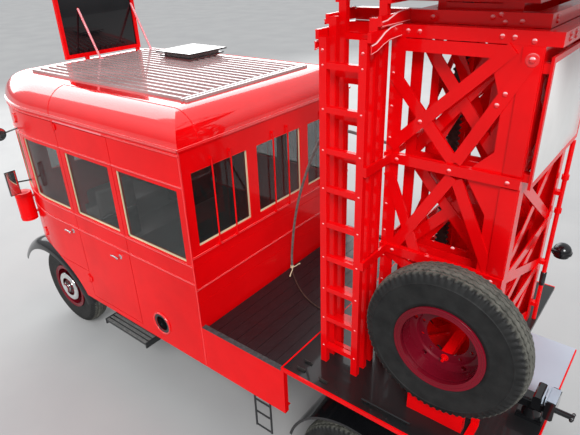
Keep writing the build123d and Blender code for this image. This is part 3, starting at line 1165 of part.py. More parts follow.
# Warning board on the tower's rear, a blank panel in its frame
BOARD_LOW = 2930
BOARD_HIGH = 3640
sign_x = X_WALL - TOWER_REAR - 50
sign = framed_panel(sign_x, sign_x + 15, sign_x + 5, (-TOWER_HALF_WIDTH, TOWER_HALF_WIDTH),
                    (BOARD_LOW, BOARD_HIGH), 32)
for y in (-TOWER_HALF_WIDTH + 40, TOWER_HALF_WIDTH - 40):
    for z in (BOARD_LOW + 60, BOARD_HIGH - 60):
        sign.append(box(sign_x + 15 + GAP, X_WALL - TOWER_REAR - GAP, y - 25, y + 25, z - 25, z + 25))
node("warning_board", sign)

# Lamps: headlamps on the radiator's brackets, sidelamps, and the lamp on the tower's rear post
lamps = []
HEADLAMP_R = 100
HEADLAMP_Y = 408
for side in (1, -1):
    lx = X_WALL + CAB_LENGTH
    shell = Pos(lx + 110, side * HEADLAMP_Y, 1130) * Rot(0, 90, 0) * Cylinder(HEADLAMP_R, 70)
    shell += Pos(lx + 75, side * HEADLAMP_Y, 1130) * Rot(0, 90, 0) * Cone(50, HEADLAMP_R, 100)
    shell += box(lx + 40, lx + 80, side * HEADLAMP_Y - 20, side * HEADLAMP_Y + 20, 900, 1130)
    shell += box(lx + GAP, lx + 80, side * HEADLAMP_Y - 20, side * HEADLAMP_Y + 20, 900, 940)
    lamps.append(shell)
LAMP_Z = 1990
LAMP_DOME = 70
lamp_x = X_WALL - TOWER_REAR - 117
lamp_y = -TOWER_HALF_WIDTH - 70
dome = Pos(lamp_x, lamp_y, LAMP_Z) * Sphere(LAMP_DOME)
dome &= box(lamp_x - 100, lamp_x + 100, lamp_y - 100, lamp_y + 100, LAMP_Z, LAMP_Z + 100)
dome += Pos(lamp_x, lamp_y, LAMP_Z - 6) * Cylinder(LAMP_DOME + 5, 14)
dome += Pos(lamp_x, lamp_y, LAMP_Z - 26) * Cylinder(LAMP_DOME - 14, 30)
dome += box(lamp_x, POLE_X - POLE_RADIUS - GAP, POLE_Y - 9, POLE_Y + 9, LAMP_Z + 14, LAMP_Z + 30)
lamps.append(dome)
node("lamps", lamps)

# Mirrors on both front pillars, and the canister at the front nearside corner
MIRROR_POST = 2564
mirrors = []
for side in (1, -1):
    mx = X_WALL + 2640
    round_one = Pos(mx - 10, side * 1262, 2600) * Rot(0, 90, 0) * Cylinder(66, 16)
    round_one += rod((mx, side * 1200, 2600), (X_WALL + MIRROR_POST, side * 1060, 2640), 8)
    long_one = box(mx - 10, mx + 8, side * 1215, side * 1325, 1930, 2200)
    long_one += rod((mx, side * 1220, 2060), (X_WALL + MIRROR_POST, side * 1060, 2060), 8)
    mirrors += [round_one, long_one]
cab_block = cab_prism(-GAP, CAB_BOTTOM, CORNICE_Z)
mirrors = [m - cab_block for m in mirrors]
node("mirrors", mirrors)
CAN_X = 2820
CAN_Y = 1125
CAN_RADIUS = 88
CAN_Z = (1540, 1860)
can = Pos(X_WALL + CAN_X, CAN_Y, sum(CAN_Z) / 2) * Cylinder(CAN_RADIUS, CAN_Z[1] - CAN_Z[0])
for z in (1600, 1790):
    can += box(X_WALL + CAN_X - 15, X_WALL + CAN_X + 15, 990, CAN_Y, z - 12, z + 12) - cab_block
node("corner_canister", can)

# Conduit from the tower's front to the foot of the cab's rear wall, and the cable that leaves it
# and lies on the deck up to the gland in its edge band; points are distances from the cab wall, Y and Z
GLAND_X = GAP - TOWER_FRONT
CONDUIT_RADIUS = 11
CONDUIT_FOOT = 1356
CONDUIT = [(GLAND_X, 340, 2960), (-1130, 340, 2960), (-915, 352, 3005), (-715, 340, 2945),
           (-565, 275, 2715), (-425, 208, 2455), (-305, 148, 2190), (-215, 96, 1925),
           (-150, 52, 1665), (-103, 14, 1460), (-103, 12, CONDUIT_FOOT)]
CABLE_RADIUS = 5
cable_z = PLANK_TOP + CABLE_RADIUS + GAP
CABLE = [(-103, 12, CONDUIT_FOOT - GAP), (-103, 12, cable_z), (-235, 122, cable_z), (-335, 196, cable_z),
         (-445, 262, cable_z), (-565, 312, cable_z), (-690, 336, cable_z), (-795, 334, cable_z),
         (-838, gland_y, gland_z), (gland_length + GAP - PLANK_LENGTH, gland_y, gland_z)]


def cord(route, radius):
    """A tube along straight runs joined by wide tangent arcs, each as wide as its runs have room for."""
    points = [Vector(X_WALL + x, y, z) for x, y, z in route]
    radii = []
    for i, (before, here, after) in enumerate(zip(points, points[1:], points[2:])):
        room_before = (here - before).length * (0.95 if i == 0 else 0.45)
        room_after = (after - here).length * (0.95 if i == len(points) - 3 else 0.45)
        turn = (here - before).get_angle(after - here)
        radii.append(min(room_before, room_after) / math.tan(math.radians(turn / 2)))
    path = FilletPolyline(*points, radius=radii)
    tube = sweep(Plane(origin=path @ 0, z_dir=path % 0) * Circle(radius), path=path)
    print("cord length", round(path.length), "volume ratio",
          round(tube.volume / (math.pi * radius ** 2 * path.length), 4), "radii", [round(r) for r in radii])
    return tube


node("conduit", cord(CONDUIT, CONDUIT_RADIUS))
node("deck_cable", cord(CABLE, CABLE_RADIUS))

os.makedirs("parts", exist_ok=True)
for name, shape in NODES.items():
    export_step(shape, os.path.join("parts", name + ".step"))
print(len(NODES), "nodes")
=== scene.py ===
"""Dresses the tower wagon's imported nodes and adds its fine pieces, cushions, cords, studio and camera."""
import math

import bmesh
import bpy
from mathutils import Matrix, Vector
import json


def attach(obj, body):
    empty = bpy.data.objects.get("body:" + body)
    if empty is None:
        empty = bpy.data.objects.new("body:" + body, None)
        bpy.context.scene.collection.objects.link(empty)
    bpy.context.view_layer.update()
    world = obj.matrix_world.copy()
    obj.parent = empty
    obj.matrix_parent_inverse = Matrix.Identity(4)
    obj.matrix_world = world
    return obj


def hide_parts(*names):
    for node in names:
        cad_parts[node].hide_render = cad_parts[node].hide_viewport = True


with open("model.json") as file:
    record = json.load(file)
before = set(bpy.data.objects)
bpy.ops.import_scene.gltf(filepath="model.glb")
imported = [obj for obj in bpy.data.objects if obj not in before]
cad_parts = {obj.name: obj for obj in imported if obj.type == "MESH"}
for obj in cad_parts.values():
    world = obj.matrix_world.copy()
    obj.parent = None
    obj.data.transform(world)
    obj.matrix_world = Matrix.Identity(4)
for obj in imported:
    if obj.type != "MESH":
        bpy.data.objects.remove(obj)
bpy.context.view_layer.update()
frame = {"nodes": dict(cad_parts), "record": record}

# Model frame in metres: +X forward, +Y nearside, +Z up. Places are given by the distance from the outer
# face of the cab's rear wall, Y and height, like in the CAD's plan
REAR_WALL_X = -0.283


def at(x, y, z):
    return Vector((REAR_WALL_X + x, y, z))


# Sizes and places that several pieces share
SIDES = ((1, "left"), (-1, "right"))
HALF_WIDTH = 1.143
SWEEP_START, SWEEP_RADIUS = 2.1605, 1.8
ROOF_EDGE_Z, ROOF_ROUND = 2.892, 0.244
ROOF_TOP_Z = ROOF_EDGE_Z + ROOF_ROUND
PLANKS_TOP_Z, REAR_DECK_TOP_Z = 1.3, 1.343
FRONT_FLOOR_Z, REAR_FLOOR_Z = 1.3457, 0.9407
AXLE_Z, FRONT_AXLE_X, REAR_AXLE_X = 0.515, 2.466, -1.801
FRONT_WHEEL_Y, REAR_WHEEL_Y, TWIN_OFFSET = 0.82, 0.905, 0.125
SPARE_CENTRE = at(-1.996, 0.895, 1.994)

# Camera, fitted to the photograph
CAMERA_AT = Vector((-3.119, 3.384, 4.133))
CAMERA_RIGHT = Vector((-0.78656, -0.61664, -0.03289))
CAMERA_DOWN = Vector((-0.25741, 0.37582, -0.89023))
CAMERA_FORWARD = Vector((0.56131, -0.69175, -0.45433))
LENS_MM = 32.11
SENSOR_MM = 36.0


def new_object(name, data):
    made = bpy.data.objects.new(name, data)
    bpy.context.scene.collection.objects.link(made)
    return made


def add_camera():
    data = bpy.data.cameras.new("camera")
    data.lens = LENS_MM
    data.sensor_width = SENSOR_MM
    data.clip_end = 400
    camera = new_object("camera", data)
    turn = Matrix((CAMERA_RIGHT, -CAMERA_DOWN, -CAMERA_FORWARD)).transposed()
    camera.matrix_world = Matrix.Translation(CAMERA_AT) @ turn.to_4x4()
    bpy.context.scene.camera = camera


# Node materials
RED = (0.84, 0.002, 0.004)
DARK_RED = (0.72, 0.0015, 0.003)
# Pale pink painted on the upward faces of beads, brackets and rivets: a painted highlight
HIGHLIGHT_RED = (0.93, 0.6, 0.61)

# Paints: colour, colour of the darker patches, least roughness, ripple, clear coat, shine, the coat's IOR
PAINTS = {
    "red_paint": (RED, DARK_RED, 0.16, 0.02, 0.16, 0.08),
    "roof_paint": (RED, DARK_RED, 0.1, 0.012, 1.0, 0.2, 1.7),
    "tower_paint": (RED, DARK_RED, 0.12, 0.015, 0.3, 0.08),
    "deck_paint": ((0.01, 0.011, 0.012), (0.006, 0.007, 0.007), 0.34, 0.02, 0.25, 0.3),
    "maroon_paint": ((0.17, 0.004, 0.014), (0.1, 0.0025, 0.007), 0.2, 0.02, 0.25, 0.1),
    "rim_paint": ((0.19, 0.004, 0.014), (0.12, 0.003, 0.008), 0.16, 0, 0.15, 0.1),
    "black_paint": ((0.008, 0.008, 0.009), (0.004, 0.004, 0.005), 0.1, 0.02, 0.6, 0.2),
    # Slats: pale warm grey that stands in for the bright sky mirrored on them, a painted reflection
    "slat_reflection_paint": ((0.4, 0.35, 0.345), (0.3, 0.26, 0.255), 0.2, 0.02, 0.8, 0.3),
    "step_paint": ((0.026, 0.027, 0.029), (0.016, 0.017, 0.018), 0.35, 0.03, 0.2, 0.3),
    "grey_paint": ((0.2, 0.2, 0.2), (0.14, 0.14, 0.14), 0.4),
    "plate_steel": ((0.46, 0.54, 0.62), (0.42, 0.49, 0.57), 0.45, 0.02, 0.15, 0.2),
    "cream_paint": ((0.75, 0.68, 0.45), (0.62, 0.56, 0.36), 0.3),
    "white_paint": ((0.82, 0.82, 0.8), (0.72, 0.72, 0.7), 0.35),
    # Pink: the roof board stays' own colour, and on the drip strips a painted highlight
    "pink_paint": ((0.86, 0.3, 0.33), (0.78, 0.2, 0.23), 0.3),
}
# Rubbers: darkest and lightest colour
RUBBERS = {
    "grey_rubber": ((0.12, 0.12, 0.115), (0.26, 0.26, 0.25)),
    "tread_rubber": ((0.03, 0.031, 0.032), (0.08, 0.082, 0.084)),
    "brown_rubber": ((0.035, 0.02, 0.014), (0.11, 0.07, 0.05)),
}
# Sockets that a Mix node uses for colours
MIX_A, MIX_B, MIX_RESULT = 6, 7, 2


class Shader:
    """Builds one node material around a Principled shader."""

    def __init__(self, name):
        self.name = name
        self.material = bpy.data.materials.new(name)
        self.material.use_nodes = True
        self.tree = self.material.node_tree
        self.main = self.tree.nodes["Principled BSDF"]

    def add(self, kind, **values):
        node = self.tree.nodes.new(kind)
        for key, value in values.items():
            if hasattr(node, key):
                setattr(node, key, value)
            else:
                node.inputs[key.replace("_", " ")].default_value = value
        return node

    def link(self, source, target):
        self.tree.links.new(source, target)

    def set(self, **values):
        for key, value in values.items():
            self.main.inputs[key.replace("_", " ")].default_value = value

    def position(self):
        return self.add("ShaderNodeTexCoord").outputs["Object"]

    def noise(self, scale, detail, stretch=(1, 1, 1)):
        mapping = self.add("ShaderNodeMapping", Scale=stretch)
        self.link(self.position(), mapping.inputs["Vector"])
        noise = self.add("ShaderNodeTexNoise", Scale=scale, Detail=detail)
        self.link(mapping.outputs["Vector"], noise.inputs["Vector"])
        return noise.outputs["Fac"]

    def map_range(self, source, **values):
        mapped = self.add("ShaderNodeMapRange", **values)
        self.link(source, mapped.inputs["Value"])
        return mapped.outputs["Result"]

    def ramp(self, source, stops):
        ramp = self.add("ShaderNodeValToRGB")
        while len(ramp.color_ramp.elements) < len(stops):
            ramp.color_ramp.elements.new(0.5)
        for element, (place, colour) in zip(ramp.color_ramp.elements, stops):
            element.position = place
            element.color = (*colour, 1)
        self.link(source, ramp.inputs["Fac"])
        return ramp.outputs["Color"]

    def colour(self, source):
        self.link(source, self.main.inputs["Base Color"])

    def roughness(self, source, low, high):
        self.link(self.map_range(source, To_Min=low, To_Max=high), self.main.inputs["Roughness"])

    def bump(self, source, strength, distance):
        bump = self.add("ShaderNodeBump", Strength=strength, Distance=distance)
        if self.main.inputs["Normal"].is_linked:
            self.link(self.main.inputs["Normal"].links[0].from_socket, bump.inputs["Normal"])
        self.link(source, bump.inputs["Height"])
        self.link(bump.outputs["Normal"], self.main.inputs["Normal"])


def mottled(name, grain, dark, light, polish, low, high, places=(0.3, 0.7)):
    """A shader whose colour and roughness wander; grain and polish are noises (scale, detail)."""
    shader = Shader(name)
    shader.colour(shader.ramp(shader.noise(*grain), list(zip(places, (dark, light)))))
    shader.roughness(shader.noise(*polish), low, high)
    return shader


def paint(name, colour, dark, gloss, peel=0.02, coat=0.35, shine=0.25, coat_ior=1.5):
    """Coach paint: slight changes of shade and gloss under a clear coat, with a faint ripple."""
    shader = mottled(name, (2.2, 4), dark, colour, (14, 5), gloss, gloss + 0.12, (0.3, 0.62))
    shader.set(Coat_Weight=coat, Coat_Roughness=0.04, Coat_IOR=coat_ior, Specular_IOR_Level=shine)
    shader.bump(shader.noise(38, 2), peel, 0.002)
    shader.bump(shader.noise(6, 2), peel, 0.01)
    return shader


def bead_highlight_paint():
    """Red paint on beads and rivets, with a painted highlight: paler pink on what faces upwards."""
    shader = Shader("bead_highlight_paint")
    facing = shader.add("ShaderNodeSeparateXYZ")
    shader.link(shader.add("ShaderNodeNewGeometry").outputs["Normal"], facing.inputs["Vector"])
    # Painted highlight: the more a face points up, the paler pink it is
    shader.colour(shader.ramp(facing.outputs["Z"], [(0.08, RED), (0.5, HIGHLIGHT_RED)]))
    shader.set(Coat_Weight=1.0, Coat_Roughness=0.05)
    shader.roughness(shader.noise(20, 3), 0.1, 0.2)
    return shader


def dark_wood():
    """Oiled planks with their grain along Y."""
    shader = Shader("dark_wood")
    grain = shader.noise(16, 6, (14, 1, 14))
    shader.colour(shader.ramp(grain, [(0.3, (0.005, 0.004, 0.005)), (0.58, (0.011, 0.008, 0.01)),
                                      (0.85, (0.045, 0.036, 0.038))]))
    shader.roughness(shader.noise(5, 4), 0.28, 0.55)
    shader.bump(grain, 0.25, 0.002)
    return shader


def tyre_rubber():
    """Black side walls and a dusty tread, told apart by the distance from the wheel's axis."""
    shader = Shader("tyre_rubber")
    wall = shader.ramp(shader.noise(12, 6), [(0.3, (0.006, 0.006, 0.006)), (0.75, (0.018, 0.018, 0.0175))])
    dusty = shader.ramp(shader.noise(26, 5), [(0.3, (0.06, 0.059, 0.05)), (0.7, (0.15, 0.147, 0.125))])
    flat = shader.add("ShaderNodeVectorMath", operation="MULTIPLY")
    flat.inputs[1].default_value = (1, 0, 1)
    shader.link(shader.position(), flat.inputs[0])
    radius = shader.add("ShaderNodeVectorMath", operation="LENGTH")
    shader.link(flat.outputs["Vector"], radius.inputs[0])
    mix = shader.add("ShaderNodeMix", data_type="RGBA")
    tread = shader.map_range(radius.outputs["Value"], From_Min=0.49, From_Max=0.506)
    shader.link(tread, mix.inputs["Factor"])
    shader.link(wall, mix.inputs[MIX_A])
    shader.link(dusty, mix.inputs[MIX_B])
    shader.colour(mix.outputs[MIX_RESULT])
    shader.roughness(shader.noise(40, 4), 0.5, 0.75)
    shader.set(Specular_IOR_Level=0.3)
    shader.bump(shader.noise(220, 3), 0.2, 0.0008)
    return shader


def build_materials():
    """Every node material by its name."""
    iron = mottled("dark_iron", (30, 5), (0.012, 0.012, 0.013), (0.05, 0.045, 0.04), (50, 3), 0.3, 0.6,
                   (0.35, 0.7))
    iron.set(Metallic=0.5)
    iron.bump(iron.noise(160, 3), 0.15, 0.001)

    leather = mottled("grey_leather", (5, 4), (0.2, 0.2, 0.19), (0.34, 0.34, 0.33), (20, 3), 0.4, 0.6)
    cells = leather.add("ShaderNodeTexVoronoi", Scale=260.0)
    leather.link(leather.position(), cells.inputs["Vector"])
    leather.bump(cells.outputs["Distance"], 0.25, 0.0008)

    plastic = mottled("black_plastic", (20, 3), (0.01, 0.01, 0.01), (0.02, 0.02, 0.02), (60, 3), 0.18, 0.3,
                      (0.4, 0.7))

    chrome = mottled("bright_metal", (30, 3), (0.6, 0.6, 0.6), (0.85, 0.85, 0.85), (25, 4), 0.05, 0.22)
    chrome.set(Metallic=1.0)

    # Glass tinted near black at part opacity: the tint is painted shade standing for the cab's dark inside
    glass = mottled("window_glass", (3, 4), (0.01, 0.014, 0.014), (0.022, 0.03, 0.029), (4, 4), 0.01, 0.05)
    glass.set(Alpha=0.42, IOR=1.5, Specular_IOR_Level=0.5, Coat_Weight=0.3, Coat_Roughness=0.01)

    silver = mottled("mirror_glass", (8, 3), (0.62, 0.64, 0.65), (0.75, 0.77, 0.78), (30, 3), 0.02, 0.07)
    silver.set(Metallic=1.0)

    floor = Shader("studio_floor")
    floor.colour(floor.ramp(floor.noise(0.7, 4), [(0.3, (0.37, 0.37, 0.37)), (0.7, (0.41, 0.41, 0.405))]))
    floor.set(Roughness=0.9, Specular_IOR_Level=0.1)

    shaders = [iron, leather, plastic, chrome, glass, silver, floor, bead_highlight_paint(), dark_wood(), tyre_rubber()]
    shaders += [paint(name, *look) for name, look in PAINTS.items()]
    for name, (dark, light) in RUBBERS.items():
        rubber = mottled(name, (40, 4), dark, light, (80, 3), 0.45, 0.65)
        rubber.bump(rubber.noise(300, 2), 0.2, 0.0005)
        shaders.append(rubber)
    return {shader.name: shader.material for shader in shaders}


materials = build_materials()

# Nodes that get a closer material of their slot's kind
CLOSER = {"cab_roof": "roof_paint", "roof_fittings": "slat_reflection_paint", "steps": "step_paint",
          "bench_vice": "black_paint", "rear_deck": "deck_paint"}
CLOSER.update(dict.fromkeys(("tower_base", "middle_stage", "inner_stage", "base_ladder", "platform",
                             "guard_rails", "spare_carrier"), "tower_paint"))


def dress_nodes():
    """Gives every node of the frame the material of its slot, or a closer one."""
    for entry in frame["record"]["subparts"]:
        slots = frame["nodes"][entry["node"]].data.materials
        slots.clear()
        slots.append(materials[CLOSER.get(entry["node"], entry["material_slot"])])


# Mesh helpers
def to_mesh(bm, name):
    mesh = bpy.data.meshes.new(name)
    bm.to_mesh(mesh)
    bm.free()
    return mesh


def smooth_mesh(bm, name, material, sharp):
    """A mesh with smooth faces, and sharp edges where they turn by more than an angle in degrees."""
    bmesh.ops.recalc_face_normals(bm, faces=bm.faces)
    mesh = to_mesh(bm, name)
    mesh.materials.append(materials[material])
    mesh.shade_smooth()
    mesh.set_sharp_from_angle(angle=math.radians(sharp))
    return mesh


def finish(bm, name, material, body="chassis", sharp=32):
    """Turns a bmesh into a piece that rides on a body."""
    piece = new_object(name, smooth_mesh(bm, name, material, sharp))
    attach(piece, body)
    return piece


def join_rings(bm, rings, ends=False):
    """Faces between rings of vertices, a ring of one vertex being a pole, and on both ends if asked."""
    for first, second in zip(rings, rings[1:]):
        for i in range(max(len(first), len(second))):
            j = i + 1
            corners = dict.fromkeys((first[i % len(first)], first[j % len(first)],
                                     second[j % len(second)], second[i % len(second)]))
            if len(corners) > 2:
                bm.faces.new(list(corners))
    if ends:
        bm.faces.new(rings[0])
        bm.faces.new(list(reversed(rings[-1])))


def add_box(bm, low, high, chamfer=0):
    """A block between two corners with chamfered edges."""
    size = [abs(b - a) for a, b in zip(low, high)]
    middle = Vector([(a + b) / 2 for a, b in zip(low, high)])
    made = bmesh.ops.create_cube(bm, size=1.0)["verts"]
    for vert in made:
        vert.co = Vector([c * s for c, s in zip(vert.co, size)]) + middle
    if chamfer:
        edges = {edge for vert in made for edge in vert.link_edges}
        bmesh.ops.bevel(bm, geom=list(edges), offset=min(chamfer, min(size) * 0.3), segments=2,
                        affect="EDGES", profile=0.6)


def add_turned(bm, profile, centre, axis, segments):
    """A surface turned about an axis; the profile holds (radius, distance along the axis)."""
    axis = Vector(axis).normalized()
    side = axis.orthogonal().normalized()
    other = axis.cross(side)
    turns = [math.tau * i / segments for i in range(segments)]
    rings = []
    for radius, along in profile:
        middle = Vector(centre) + axis * along
        rings.append([bm.verts.new(middle + (side * math.cos(a) + other * math.sin(a)) * radius)
                      for a in (turns if radius else turns[:1])])
    join_rings(bm, rings)


def add_dome(bm, centre, axis, radius, height):
    """A round rivet head."""
    profile = [(radius, -0.002), (radius, 0), (radius * 0.9, height * 0.5), (radius * 0.6, height * 0.85),
               (0, height)]
    add_turned(bm, profile, centre, axis, 12)


def add_bolt(bm, centre, axis, radius, height):
    """A hexagonal head on a round washer."""
    add_turned(bm, [(radius * 1.35, -0.002), (radius * 1.35, 0.002), (radius, 0.002)], centre, axis, 20)
    add_turned(bm, [(radius, 0), (radius, height * 0.8), (radius * 0.85, height), (0, height)],
               centre, axis, 6)


def add_tube(bm, points, radius, sides, caps=True):
    """A round tube through points, its rings turned with the path; the radius may differ along it."""
    points = [Vector(p) for p in points]
    radii = radius if isinstance(radius, list) else [radius] * len(points)
    rings = []
    up = None
    for i, point in enumerate(points):
        along = (points[min(i + 1, len(points) - 1)] - points[max(i - 1, 0)]).normalized()
        up = along.orthogonal() if up is None else up - along * up.dot(along)
        up.normalize()
        other = along.cross(up)
        rings.append([bm.verts.new(point + (up * math.cos(a) + other * math.sin(a)) * radii[i])
                      for a in (math.tau * k / sides for k in range(sides))])
    join_rings(bm, rings, caps)


def add_strip(bm, sections):
    """A closed skin through cross-sections that all have the same number of corners."""
    join_rings(bm, [[bm.verts.new(p) for p in section] for section in sections], True)


def wall_y(x):
    """Y of the cab's side face at a distance from the rear wall; it sweeps in at the front."""
    past = max(0, x - SWEEP_START)
    return HALF_WIDTH - SWEEP_RADIUS + math.sqrt(SWEEP_RADIUS ** 2 - past ** 2)


def rider(body, word):
    """The chassis, or the body of that name on one side."""
    return body if body == "chassis" else body + "_" + word


# Tyre section: radius, distance from the tyre's middle, share of the zigzag and share of the notches
TYRE_RADIUS = 0.515
TYRE_WALL = [(0.2546, 0.0905, 0, 0), (0.289, 0.0915, 0, 0), (0.297, 0.0955, 0, 0), (0.305, 0.0965, 0, 0),
             (0.309, 0.0985, 0, 0), (0.315, 0.0985, 0, 0), (0.319, 0.0975, 0, 0), (0.36, 0.1025, 0, 0),
             (0.402, 0.1045, 0, 0), (0.436, 0.1038, 0, 0), (0.4385, 0.1058, 0, 0), (0.443, 0.1058, 0, 0),
             (0.4455, 0.1028, 0, 0), (0.452, 0.1012, 0, 0.15), (0.468, 0.0966, 0, 0.55),
             (0.484, 0.0905, 0, 0.85), (0.4965, 0.0835, 0, 1), (0.5005, 0.0775, 0, 1),
             (0.5022, 0.071, 0, 0.9), (0.5035, 0.066, 0.3, 0)]
# Grooves of the tread: distance from the middle and depth
GROOVES = ((0.049, 0.0125), (0.0165, 0.0135))
CROWN_FALL, CROWN_REACH = 0.024, 0.083
TYRE_STEPS = 288
ZIGZAG, ZIGZAG_REACH = (-1, 0, 1, 0), 0.0045
NOTCH, NOTCH_WIDTH, NOTCH_DEPTH = (0, 0, 1, 1), 0.005, 0.01


def front_wheel(side):
    return Vector((FRONT_AXLE_X, side * FRONT_WHEEL_Y, AXLE_Z))


def rear_wheel(side, offset=0):
    """Middle of a pair of rear wheels, or of one of the two."""
    return Vector((REAR_AXLE_X, side * (REAR_WHEEL_Y + offset), AXLE_Z))


def build_tyre_mesh():
    """A tyre with zigzag ribs, notched shoulders and ringed side walls."""
    half = list(TYRE_WALL)
    for place, depth in GROOVES:
        outer, inner = (TYRE_RADIUS - CROWN_FALL * ((place + step) / CROWN_REACH) ** 2
                        for step in (0.005, -0.005))
        half += [(outer, place + 0.0045, 1, 0), (outer - depth, place + 0.003, 1, 0),
                 (inner - depth, place - 0.003, 1, 0), (inner, place - 0.0045, 1, 0)]
    columns = half + [(r, -u, z, n) for r, u, z, n in reversed(half)]
    bm = bmesh.new()
    rings = []
    for i in range(TYRE_STEPS):
        a = math.tau * i / TYRE_STEPS
        ring = []
        for r, u, zigzag, notch in columns:
            cut = NOTCH[i % 4] * notch
            across = u + ZIGZAG_REACH * ZIGZAG[i % 4] * zigzag - math.copysign(NOTCH_WIDTH * cut, u)
            radius = r - NOTCH_DEPTH * cut
            ring.append(bm.verts.new((radius * math.cos(a), across, radius * math.sin(a))))
        rings.append(ring)
    join_rings(bm, rings + rings[:1])
    return smooth_mesh(bm, "tyre_tread", "tyre_rubber", 38)


def add_tyres():
    mesh = build_tyre_mesh()
    places = [("tread_spare", SPARE_CENTRE, "chassis", "spare_tyre")]
    for side, word in SIDES:
        places.append(("tread_front_" + word, front_wheel(side), "front_wheel_" + word, "front_tyre_" + word))
        for ring, offset in (("outer", TWIN_OFFSET), ("inner", -TWIN_OFFSET)):
            places.append(("tread_rear_%s_%s" % (ring, word), rear_wheel(side, offset),
                           "rear_wheel_" + word, "rear_tyre_" + word))
    for name, centre, body, node in places:
        piece = new_object(name, mesh)
        piece.location = centre
        bpy.context.view_layer.update()
        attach(piece, body)
        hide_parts(node)


# Turned trim of the wheels: radius and distance out from the wheel's middle
NUT_GUARD = [(0.1868, 0.04), (0.1872, 0.106), (0.1855, 0.112), (0.1785, 0.1185), (0.172, 0.1212),
             (0.124, 0.1212), (0.1185, 0.1195), (0.1172, 0.115), (0.1172, 0.1072), (0.168, 0.1032)]
HUB_CAP = [(0.0632, 0.1075), (0.0634, 0.143), (0.061, 0.149), (0.056, 0.152), (0.05, 0.1535),
           (0.047, 0.16), (0.04, 0.1645), (0.025, 0.1672), (0, 0.168)]
RIM_EDGE = [(0.244, 0.1), (0.244, 0.103), (0.2475, 0.1048), (0.2505, 0.103), (0.264, 0.103),
            (0.2668, 0.1052), (0.2696, 0.103), (0.279, 0.1052), (0.2832, 0.1085), (0.2868, 0.1078),
            (0.2885, 0.104), (0.2885, 0.099)]
RIM_RING = [(0.2425, 0), (0.244, 0.005), (0.244, 0.009), (0.2425, 0.014)]
CLAMP_NUT_RISE = 0.168


def add_bolt_circle(bm, centre, side, count, circle, out, radius, height):
    """Bolts in a circle round a wheel's middle."""
    for a in (math.tau * i / count for i in range(count)):
        place = centre + Vector((circle * math.cos(a), side * out, circle * math.sin(a)))
        add_bolt(bm, place, (0, side, 0), radius, height)


def add_wheel_trim():
    """Bright nut guards and hub caps, hub nuts, and the rivets, rings and clamp nuts of the spare wheel."""
    for side, word in SIDES:
        for name, profile, segments in (("nut_guard_", NUT_GUARD, 96), ("hub_cap_", HUB_CAP, 64)):
            bm = bmesh.new()
            add_turned(bm, profile, front_wheel(side), (0, side, 0), segments)
            finish(bm, name + word, "bright_metal", "front_wheel_" + word, 50)
        bm = bmesh.new()
        add_bolt_circle(bm, front_wheel(side), side, 8, 0.0785, 0.1062, 0.0095, 0.012)
        finish(bm, "hub_nuts_" + word, "dark_iron", "front_wheel_" + word)
        bm = bmesh.new()
        add_bolt_circle(bm, rear_wheel(side), side, 10, 0.112, 0.1, 0.012, 0.016)
        finish(bm, "rear_hub_nuts_" + word, "dark_iron", "rear_wheel_" + word)
    bm = bmesh.new()
    rivets = 20
    for i in range(rivets):
        a = math.tau * (i + 0.5) / rivets
        place = SPARE_CENTRE + Vector((0.2325 * math.cos(a), -0.0305, 0.2325 * math.sin(a)))
        add_dome(bm, place, (0, 1, 0), 0.006, 0.004)
    for along in (0.062, -0.072):
        add_turned(bm, RIM_RING, SPARE_CENTRE + Vector((0, along, 0)), (0, 1, 0), 96)
    finish(bm, "spare_rim_rings", "maroon_paint")
    bm = bmesh.new()
    for rise in (-CLAMP_NUT_RISE, CLAMP_NUT_RISE):
        add_bolt(bm, SPARE_CENTRE + Vector((0, -0.0455, rise)), (0, 1, 0), 0.019, 0.018)
    finish(bm, "spare_clamp_nuts", "red_paint")


def add_rim_edges():
    """Rolled outer edges of the rims."""
    places = [("spare_out", SPARE_CENTRE, 1, "chassis"), ("spare_in", SPARE_CENTRE, -1, "chassis")]
    for side, word in SIDES:
        places.append(("front_" + word, front_wheel(side), side, "front_wheel_" + word))
        places.append(("rear_" + word, rear_wheel(side, TWIN_OFFSET), side, "rear_wheel_" + word))
    for name, centre, side, body in places:
        bm = bmesh.new()
        add_turned(bm, RIM_EDGE, centre, (0, side, 0), 96)
        finish(bm, "rim_edge_" + name, "rim_paint", body, 60)


def add_step_ribs():
    """Three rubber ribs on each slat of the side steps."""
    inner_y, slat_width, slats, top_z = 0.86, 0.044, 6, 0.6598
    pitch = (HALF_WIDTH - inner_y - slat_width) / (slats - 1)
    bm = bmesh.new()
    for side in (1, -1):
        for i in range(slats):
            for shift in (-0.011, 0, 0.011):
                y = side * (inner_y + slat_width / 2 + pitch * i + shift)
                add_tube(bm, [at(0.936, y, top_z), at(1.604, y, top_z)], 0.0032, 8)
    finish(bm, "step_ribs", "grey_rubber", sharp=60)


def add_vice_jaws():
    """Ribbed steel jaw plates of the vice, and a ribbed plate on its moving jaw's top."""
    bm = bmesh.new()
    for x in (-2.5568, -2.5758):
        add_box(bm, at(x, 0.4292, 1.5325), at(x + 0.0086, 0.5708, 1.5802), 0.001)
        for y in (0.436 + i * 0.0117 for i in range(12)):
            add_tube(bm, [at(x + 0.0003, y, 1.5805), at(x + 0.0083, y, 1.5805)], 0.0022, 6)
    add_box(bm, at(-2.631, 0.431, 1.572), at(-2.5765, 0.569, 1.5785), 0.0015)
    for x in (-2.6275 + i * 0.0068 for i in range(8)):
        add_tube(bm, [at(x, 0.434, 1.5785), at(x, 0.566, 1.5785)], 0.0019, 6)
    finish(bm, "vice_jaws", "plate_steel")


